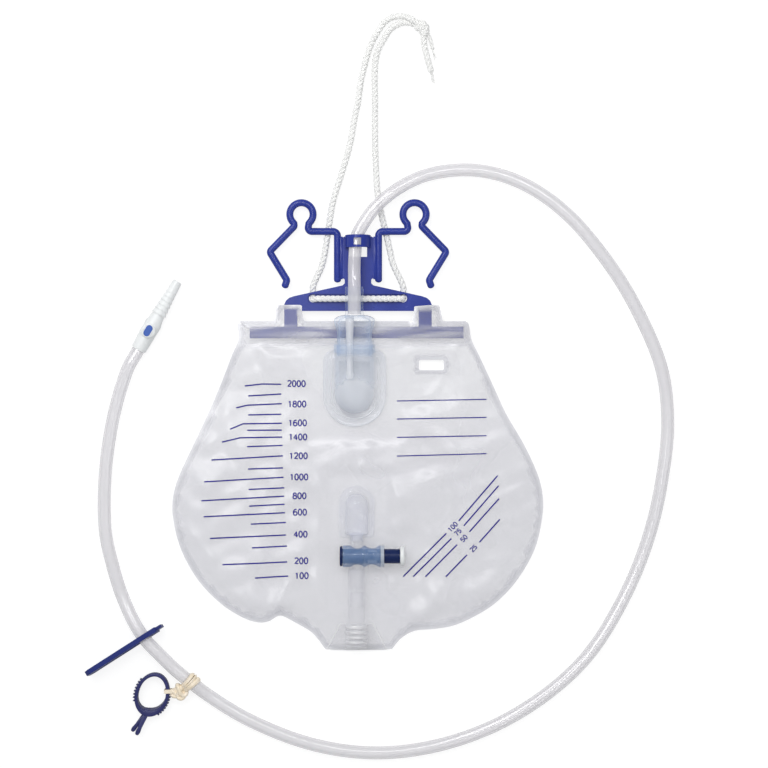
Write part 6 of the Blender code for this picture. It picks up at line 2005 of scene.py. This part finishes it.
@dataclass
class Spout:
    """The drain sleeve below the tap and the ribbed spout at its end."""

    palette: Palette
    rows: RowSetter
    sleeve: tuple[float, float] = (183.7, 209.9)
    sleeve_r: float = 6.05
    spout_end: float = 238.4
    spout_r: float = 5.85
    rib_first: float = 225.2
    rib_pitch: float = 3.6
    ribs: int = 4
    rib_r: float = 6.9

    def build(self) -> None:
        """Make the sleeve, the spout and its ribs."""
        along = Matrix.Translation(at(OUTLET_X, 0, TAP_Z)) @ turn(90, "X")
        a, b = self.sleeve
        r = self.sleeve_r
        sleeve = [(a, 4.8), (a, r - 0.2), (a + 0.2, r), (a + 13.0, r), (a + 13.3, r - 0.15),
            (a + 13.8, r - 0.15), (a + 14.1, r), (b - 0.25, r), (b, r - 0.25), (b, 4.8)]
        make("visible_drain_sleeve", lathe(sleeve).moved(along), self.palette.milky, 40,
            stands_for="drain_tube")
        end, r = self.spout_end, self.spout_r
        spout = [(b - 9.9, 3.6), (b - 9.9, 4.2), (b - 9.6, 4.5), (b + GAP, 4.5), (b + GAP, r - 0.2),
            (b + 0.5, r), (end - 1.2, r), (end - 0.5, r + 0.25), (end - 0.1, r), (end, r - 0.5), (end, 3.9),
            (end - 0.3, 3.6)]
        make("visible_spout", lathe(spout).moved(along), self.palette.milky, 40, stands_for="drain_spout")
        rib = lathe([(-0.75, r - 0.3), (-0.75, self.rib_r - 0.35), (-0.5, self.rib_r - 0.05),
            (-0.2, self.rib_r), (0.2, self.rib_r), (0.5, self.rib_r - 0.05), (0.75, self.rib_r - 0.35),
            (0.75, r - 0.3)], 40)
        first, last = self.rib_first, self.rib_first + (self.ribs - 1) * self.rib_pitch
        line = [at(OUTLET_X, first, TAP_Z), at(OUTLET_X, last, TAP_Z)]
        self.rows.set_row("visible_spout_ribs", rib, line, self.ribs, self.palette.ribs)


# Tube and what hangs on it


class TubeRoute:
    """The drainage tube's axis, from the stopper's collar to the connector."""

    def __init__(self) -> None:
        """Lay the route out."""
        tilt = turn(CHAMBER_TILT, "X").to_3x3()
        points = [at(*CHAMBER_AT) + tilt @ Vector((0, y, COLLAR_Z)) for y in (26, 36, 49.1)]
        points += [at(*p) for p in ((-2.6, -33, 17.1), (-2.5, -39, 14.6), (-2.3, -44.6, 12.4),
            (-1.9, -51.2, 10.6), (-1.2, -58.5, 9.9), (5.8, -71.5, 9.6), (14.6, -82.5, 9.45), (30.7, -95.3, 8),
            (52.6, -105.1, 5.4))]
        points += [at(x, d, LAID) for x, d in ((85.4, -108), (118.3, -99.3), (151.1, -77.4), (184, -38.7),
            (205.9, -1.8), (222, 38), (226.2, 76), (222.6, 114.6), (212.8, 158.4), (195.3, 202.2),
            (168.3, 246), (136, 276), (96.4, 299.3), (52.6, 313.5), (8.8, 317.6), (-35, 311), (-78.8, 294),
            (-108, 276.5))]
        points += [at(*p) for p in ((-122.6, 265.2, 7.6), (-133.6, 256.2, 8), (-144.5, 245.6, 8.3),
            (-154, 235.8, 8.3), (-162.1, 224.1, 7.7))]
        points += [at(x, d, LAID) for x, d in ((-172.6, 202.2), (-179.4, 180.3), (-184.3, 158.4),
            (-185.4, 130), (-183.2, 99), (-176.8, 64))]
        points += [Connector.FRAME @ Vector((0, 0, s)) for s in (-14, -5, 9.7)]
        self.fine = smooth_route(points, 1.0, LAID)

    def points(self, spacing: int) -> list[Vector]:
        """The route with a point every so many millimetres."""
        return self.fine[:-1:spacing] + [self.fine[-1]]

    def nearest(self, place: Vector) -> tuple[Vector, Vector]:
        """The point of the axis nearest a place.

        Args:
            place: The place.

        Returns:
            The point, and the tube's direction there.
        """
        k = min(range(1, len(self.fine) - 1), key=lambda k: (self.fine[k] - place).length)
        return self.fine[k], (self.fine[k + 1] - self.fine[k - 1]).normalized()


@dataclass
class Connector:
    """The stepped catheter connector with its sampling port."""

    palette: Palette
    rows: RowSetter
    barb_first: float = 29.6
    barb_pitch: float = 3.6
    barbs: int = 7
    barb_r: float = 5.6
    tip_r: float = 3.7
    length: float = 57.5
    bore: float = 2.3
    socket: float = 4.95
    FRAME = Matrix.Translation((-160.3, 54.9, 6.35)) @ Matrix(((math.cos(math.radians(30)), 0,
        math.sin(math.radians(30)), 0), (-math.sin(math.radians(30)), 0, math.cos(math.radians(30)), 0),
        (0, 1, 0, 0), (0, 0, 0, 1)))

    def build(self) -> list[Piece]:
        """Make the connector.

        Returns:
            Its pieces.
        """
        core_tip, core_start = self.tip_r - 0.4, self.barb_r - 1.0
        profile = [(0.0, self.socket), (0, 5.2), (0.3, 5.5), (6, 5.8), (14, 6.05), (21.5, 6.25), (22.4, 6.15),
            (23.6, 5.75), (25.5, 5.3), (28, 4.9), (29.2, core_start), (self.length - 3.0, core_tip + 0.2),
            (self.length - 0.4, core_tip), (self.length, core_tip - 0.4), (self.length, self.bore + 0.2),
            (self.length - 0.4, self.bore), (10.0, self.bore), (10.0, self.socket)]
        shape = lathe(profile, 64)
        facing = shift(0, 0, 15.7) @ turn(-90, "X")
        shape.add(lathe([(2, 0), (2, 5.4), (6.3, 5.4), (6.75, 5.25), (7, 4.9), (7.2, 4.5), (7.2, 0)],
            48).moved(facing))
        body = make("visible_connector", shape.moved(self.FRAME), self.palette.white, 40,
            stands_for="catheter_connector")
        barb = lathe([(0.0, core_tip - 0.5), (0.0, self.barb_r - 0.3), (0.15, self.barb_r - 0.05),
            (0.4, self.barb_r), (1.2, self.barb_r - 0.25), (2.4, self.barb_r - 0.75),
            (3.5, self.barb_r - 1.1), (3.5, core_tip - 0.5)], 48)
        last = self.barb_first + (self.barbs - 1) * self.barb_pitch
        line = [self.FRAME @ Vector((0, 0, s)) for s in (self.barb_first, last)]
        barbs = self.rows.set_row("visible_connector_barbs", barb, line, self.barbs, self.palette.white,
            self.tip_r / self.barb_r)
        oval = [(y, x) for x, y in slot_outline(4.3, 2.45)][::-1]
        pad = plate(oval, [(0, 6.6), (0, 7.25), (0.12, 7.4), (0.45, 7.5), (1.2, 7.46)])
        septum = make("visible_septum", pad.moved(self.FRAME @ facing), self.palette.septum, 50,
            stands_for="sampling_septum")
        rim = [(y, x) for x, y in slot_outline(5.0, 3.15)][::-1]
        frame = plate(rim, [(0, 7), (0, 7.35), (0.15, 7.5), (0.5, 7.5), (0.62, 7.3), (0.62, 7.1)])
        surround = make("visible_septum_rim", frame.moved(self.FRAME @ facing), self.palette.white, 40)
        return [body, barbs, septum, surround]


@dataclass
class SlideClamp:
    """The slide clamp that stands on edge over the tube."""

    palette: Palette
    nodes: dict[str, Piece]

    def build(self) -> Piece:
        """Round the clamp's edges."""
        return rounded_node(self.nodes, "slide_clamp", "visible_slide_clamp", self.palette.navy, 0.5,
            Body.CLAMP)


@dataclass
class SheetClip:
    """The spring clip that pins the tube to a bed sheet."""

    palette: Palette
    rows: RowSetter
    height: float = 6.6
    outer: tuple[float, float] = (12.4, 16.2)
    wall: float = 2.5
    teeth: int = 8
    FRAME = Matrix.Translation((*CLIP_AT, 1.2)) @ turn(-17, "Z")

    def oval(self, grow: float, start: float, end: float, steps: int) -> list[Vector]:
        """Points along the clip's oval.

        Args:
            grow: How far outside the oval's outer line.
            start, end: Angles in degrees.
            steps: Spans.

        Returns:
            The points in the clip's own frame.
        """
        a, b = self.outer
        return [Vector((x, y, 0)) for x, y in arc(0, 0, a + grow, start, end, steps, (b + grow) / (a + grow))]

    def build(self) -> list[Piece]:
        """Make the ring, its finger serrations and its prongs.

        Returns:
            The pieces.
        """
        h, rings = self.height, []
        for a in turn_angles(96):
            out = Vector((math.cos(a) * self.outer[0], math.sin(a) * self.outer[1], 0))
            normal = Vector((math.cos(a) / self.outer[0], math.sin(a) / self.outer[1], 0)).normalized()
            foot = max(math.cos(a + math.radians(78)), 0)
            wall = self.wall + 3.4 * foot * foot
            # The foot slopes inwards, so its lighter inner face shows from above
            slope = 1.6 * foot
            section = [(0, 0.5), (0.15, 0.15), (0.5, 0), (wall - 0.5, 0), (wall - 0.15, 0.15), (wall, 0.5),
                (wall - slope, h - 0.5), (wall - slope - 0.15, h - 0.15), (wall - slope - 0.5, h), (0.5, h),
                (0.15, h - 0.15), (0, h - 0.5)]
            rings.append([out - normal * u + Vector((0, 0, z)) for u, z in section])
        shape = loft(rings, wrap=True)
        for side, (low, high) in ((-1, (0.3, h / 2 - 0.1)), (1, (h / 2 + 0.1, h - 0.3))):
            way = shift(0, -13.6, 0) @ turn(-14 + side * 7.0, "Z")
            outline = [(2.2, 2.6), (-2.2, 2.6), (-1.4, -12), (-1.7, -15.4), (-1.4, -17), (-0.6, -17.8),
                (0.6, -17.8), (1.4, -17), (1.7, -15.4), (1.4, -12)]
            shape.add(plate(outline, [(0.3, low), (0.0, low + 0.3), (0.0, high - 0.3), (0.3, high)]).moved(
                way))
        ring = make("visible_sheet_clip", shape.moved(self.FRAME), self.palette.clip, 50,
            stands_for="sheet_clip")
        pieces = [ring]
        tooth = loft([[(-0.9, y, -0.75), (0.9, y, -0.2), (0.9, y, 0.2), (-0.9, y, 0.75)]
            for y in (-h / 2 + 0.4, h / 2 - 0.4)])
        for name, start, end in (("right", -48, 6), ("left", 150, 208)):
            line = [self.FRAME @ (p + Vector((0, 0, h / 2))) for p in self.oval(0.25, start, end, 24)]
            pieces.append(self.rows.set_row(f"visible_clip_serrations_{name}", tooth, line, self.teeth,
                self.palette.clip))
        return pieces


@dataclass
class ElasticBand:
    """The latex band: turns round the tube, a knot and a loop round the clip."""

    palette: Palette
    route: TubeRoute
    seed: int = 5

    def build(self) -> list[Piece]:
        """Wind the band and tie its knot.

        Returns:
            Its pieces.
        """
        rng = np.random.default_rng(self.seed)
        middle, along = self.route.nearest(at(-121.0, 264.5, 7.7))
        out = Vector((-along.y, along.x, 0))
        up = Vector((0, 0, 1))
        shape = Shape()
        for k, slide in enumerate((-2.5, 0.1, 2.7)):
            lean = rng.uniform(0.5, 1.3)
            path = []
            for a in turn_angles(44):
                reach = 5.5 + 0.2 * math.sin(3 * a + k)
                path.append(middle + along * (slide + lean * math.cos(a + 0.5 * k))
                    + out * reach * math.cos(a) + up * reach * math.sin(a))
            shape.add(hose(path, 1.75 + rng.uniform(-0.12, 0.12), 12, wrap=True, flat=0.5))
        turns = make("visible_band_turns", shape, self.palette.latex, 60, stands_for="clip_elastic_band")
        knot = Shape()
        for away, forward, rise, tilt, big in ((11.6, 2.2, -1.9, 20, 4.6), (9.8, 0.2, -0.2, 75, 4.4),
                (8.6, 1.4, 0.2, 130, 4.2), (12.6, 2.4, -2.4, 160, 4)):
            centre = middle + out * away + along * forward + up * rise
            spin = turn(tilt, "Z") @ turn(tilt * 0.4, "X")
            path = [centre + spin @ Vector((big * math.cos(a), big * 0.5 * math.sin(a), math.sin(2 * a)))
                for a in turn_angles(40)]
            knot.add(hose(kept_above(path, 1.3), 2.05, 14, wrap=True, flat=0.8))
        knot.add(ball(middle + out * 10.6 + along * 1.5 + up * -1.6, (4.8, 4, 3)))
        for start, end in ((Vector((6.4, -1.6, 2.2)), Vector((2.2, 2.6, 5.6))),
                (Vector((13, 4.2, -2.6)), Vector((15.6, 6.2, -5)))):
            tail = [middle + out * p.x + along * p.y + up * p.z for p in (start.lerp(end, k / 8)
                + Vector((0, 0.4 * math.sin(k), 0)) for k in range(9))]
            knot.add(hose(kept_above(tail, 1.2), lambda t: 1.5 - 0.5 * t, 12, flat=0.55))
        tied = make("visible_band_knot", knot, self.palette.latex, 60)
        limb = Vector((CLIP_AT[0] + 11.56, CLIP_AT[1] + 2.57, 0))
        rings = []
        for x, z in ((-2.2, 0.2), (3.2, 0.2), (3.6, 0.6), (3.6, 8.2), (3.2, 8.6), (-2.2, 8.6), (-2.6, 8.2),
                (-2.6, 0.6)):
            inward = Vector((0.5 - x, 0, 4.4 - z)).normalized() * 0.75
            spot = limb + Vector((x, 0, z))
            rings.append([spot + Vector((0, -1.4, 0)), spot + Vector((0, 1.4, 0)),
                spot + inward + Vector((0, 1.4, 0)), spot + inward + Vector((0, -1.4, 0))])
        loop = make("visible_band_loop", loft(rings, wrap=True), self.palette.latex, 50)
        return [turns, tied, loop]


@dataclass
class DrainageTube:
    """The clear tube with its bore."""

    palette: Palette
    route: TubeRoute
    radius: float = 4.65
    bore: float = 3.25

    def build(self, carried: Sequence[Piece]) -> None:
        """Draw the tube along its route.

        Args:
            carried: The pieces on it; not used.
        """
        path = self.route.points(4)
        tube = make("visible_drainage_tube", hose(path, self.radius, 24), self.palette.tube, 60,
            stands_for="drainage_tube")
        # The bore takes the darker grey finish, a painted shade along the tube's inside.
        inner = make("visible_tube_bore", hose(path[:-1], self.bore, 20), self.palette.bore, 60)
        [tuple(p * MM) for p in self.route.points(12)]


@dataclass
class HangingCord:
    """The three-strand hanging cord: its loop, its knot and its two tails."""

    palette: Palette
    twister: StrandTwister
    diameter: float = 4.4
    pitch: float = 11.0
    LOW = 2.43
    HIGH = 8.4
    # Each tail: its route, diameter, the tip of its loose filaments and how many there are
    TAILS = (("long", ((47.6, -208.6, 3), (48, -204.8, 2.6), (48.4, -199.6, 2.45), (50.3, -191.6, 2.45),
        (52.6, -183.5, 2.45), (53.2, -180.4, 2.45)), 4.4, (55.6, -172, 0.6), 9),
        ("short", ((50.6, -208.6, 2.8), (52, -206.1, 2.1), (53.3, -202.6, 1.6), (54.6, -197, 1.55)), 2.7,
        (56.4, -189.5, 0.6), 5),)

    def route(self) -> list[Vector]:
        """The loop's route, from the knot round the hanger's base and back.

        Returns:
            Points 1.2 mm apart.
        """
        low, high, hole = self.LOW, self.HIGH, 33.0
        left = [(27.7, -220.9), (20.3, -217.5), (13.8, -208.7), (8.7, -198.4), (4.5, -184.2), (1.9, -172.6),
            (0, -158.5), (-2.2, -148.3), (-6, -127), (-12, -106), (-18.6, -84), (-22.4, -60), (-26, -40)]
        right = [(25.4, -40), (23, -51), (18, -72), (14.4, -90), (13.3, -105), (12.4, -130), (12.4, -158.5),
            (12.4, -184.2), (14.2, -195), (18.5, -203.4), (24, -211.7), (30.1, -215.4), (34.7, -216.4),
            (39.3, -215.8)]
        bend = [(-hole, -23.0, low), (-hole, -17.9, low), (-hole, -15.0, low + 1.0),
            (-hole, -14.0, low + 3.3), (-hole + 1.0, -14.0, high - 1.0), (-hole + 3.3, -14.0, high),
            (-hole + 8.0, -14.0, high), (-12.0, -14.0, high), (0.0, -14.0, high)]
        points = [at(44.4, -214.6, 5.4), at(40.2, -217.5, 6.0), at(34.0, -220.6, 4.3)]
        points += [at(x, d, low) for x, d in left]
        points += [at(*p) for p in bend] + [at(-x, d, z) for x, d, z in bend[-2::-1]]
        points += [at(x, d, low) for x, d in right] + [at(44.0, -214.0, 3.0)]
        return smooth_route(points, 1.2, low)

    def make_cord(self, name: str, path: list[Vector], diameter: float, node: str) -> tuple[Piece, Piece]:
        """A rope: an inner core and three strands laid round it.

        Args:
            name: The rope's name.
            path: Its axis.
            diameter: Its diameter.
            node: The CAD node that it replaces.

        Returns:
            The core and the strands.
        """
        radius = diameter / 2
        core = make(name + "_core", hose(path, radius * 0.73, 12), self.palette.rope, 60, stands_for=node)
        return core, self.lay_strands(name + "_strands", [path], diameter)

    def lay_strands(self, name: str, paths: Sequence[list[Vector]], diameter: float) -> Piece:
        """Lay three strands round each path.

        Args:
            name: The strands' name.
            paths: The axes.
            diameter: The rope's diameter.

        Returns:
            The strands.
        """
        guide, edges = Shape(), []
        for path in paths:
            first = len(guide.vertices)
            guide.vertices += path
            edges += [(first + k, first + k + 1) for k in range(len(path) - 1)]
        strands = self.twister.run(name, guide, edges, {"Strands": 3,
            "Pitch": self.pitch * MM * diameter / self.diameter, "Lay Radius": diameter * 0.285 * MM,
            "Strand Radius": diameter * 0.265 * MM, "Step": MM, "Material": self.palette.rope.material})
        return register(strands)

    def make_knot(self) -> list[Piece]:
        """The overhand knot: three tight turns of the same rope over a firm heart.

        Returns:
            Its pieces.
        """
        paths = []
        for centre, radii, tilt in (((45.6, -213.8, 4.4), (3.2, 2.2, 1.6), 25),
                ((48.6, -211, 4.4), (3, 2.1, 1.8), 75), ((47, -212, 4.7), (3.6, 1.9, 1.8), 130)):
            spin = turn(tilt, "Z") @ turn(24, "X")
            path = [at(*centre) + spin @ Vector((radii[0] * math.cos(a), radii[1] * math.sin(a),
                radii[2] * 0.5 * math.sin(2 * a))) for a in turn_angles(44, 49)]
            paths.append(kept_above(path, 2.4))
        turns = self.lay_strands("visible_knot_turns", paths, 3.9)
        shape = ball(at(46.8, -212.6, 4.2), (3.6, 3.6, 3.2))
        return [turns, make("visible_cord_knot", shape, self.palette.rope, 60, stands_for="cord_knot")]

    def make_fray(self, name: str, root: Vector, tip: Vector, count: int) -> Piece:
        """Loose filaments at a cut end.

        Args:
            name: The piece's name.
            root, tip: Where they start and end.
            count: How many, which also seeds their waves.

        Returns:
            The piece.
        """
        rng = np.random.default_rng(count)
        shape = Shape()
        for _ in range(count):
            aim = tip + Vector((*rng.uniform(-1.2, 1.2, 2), 0))
            start = root + Vector((*rng.uniform(-0.7, 0.7, 2), 0))
            sway = Vector((*rng.uniform(-0.8, 0.8, 2), 0))
            path = kept_above((start.lerp(aim, k / 8) + sway * math.sin(k * 0.8) for k in range(9)), 0.4)
            shape.add(hose(path, lambda t: 0.28 - 0.16 * t, 6))
        return make(name, shape, self.palette.rope, 60)

    def build(self) -> None:
        path = self.route()
        core, strands = self.make_cord("visible_hanging_cord", path, self.diameter, "hanging_cord")
        pieces = [strands, *self.make_knot()]
        for label, points, diameter, tip, count in self.TAILS:
            line = smooth_route([at(*p) for p in points], 1.2)
            pieces += self.make_cord(f"visible_cord_tail_{label}", line, diameter, f"cord_tail_{label}")
            pieces.append(self.make_fray(f"visible_cord_fray_{label}", line[-1], at(*tip), count))


# The whole bag


def main() -> None:
    """Dress the frame and set up the studio."""
    logging.basicConfig(level=logging.INFO, format="%(name)s: %(message)s")
    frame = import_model()
    nodes = frame["nodes"]
    Studio().build()
    palette = Palette()
    rows, twister, route = RowSetter(), StrandTwister(), TubeRoute()
    carried = Connector(palette, rows).build()
    carried.append(SlideClamp(palette, nodes).build())
    carried += SheetClip(palette, rows).build()
    carried += ElasticBand(palette, route).build()
    DrainageTube(palette, route).build(carried)
    HangingCord(palette, twister).build()
    form = BagForm()
    BagFilms(form, palette).build()
    PrintedMarks(form, palette).build()
    Hanger(palette, nodes).build()
    DripChamber(palette).build()
    DrainOutlet(palette).build()
    CrossTap(palette).build()
    Spout(palette, rows).build()


if __name__ == "__main__":
    main()
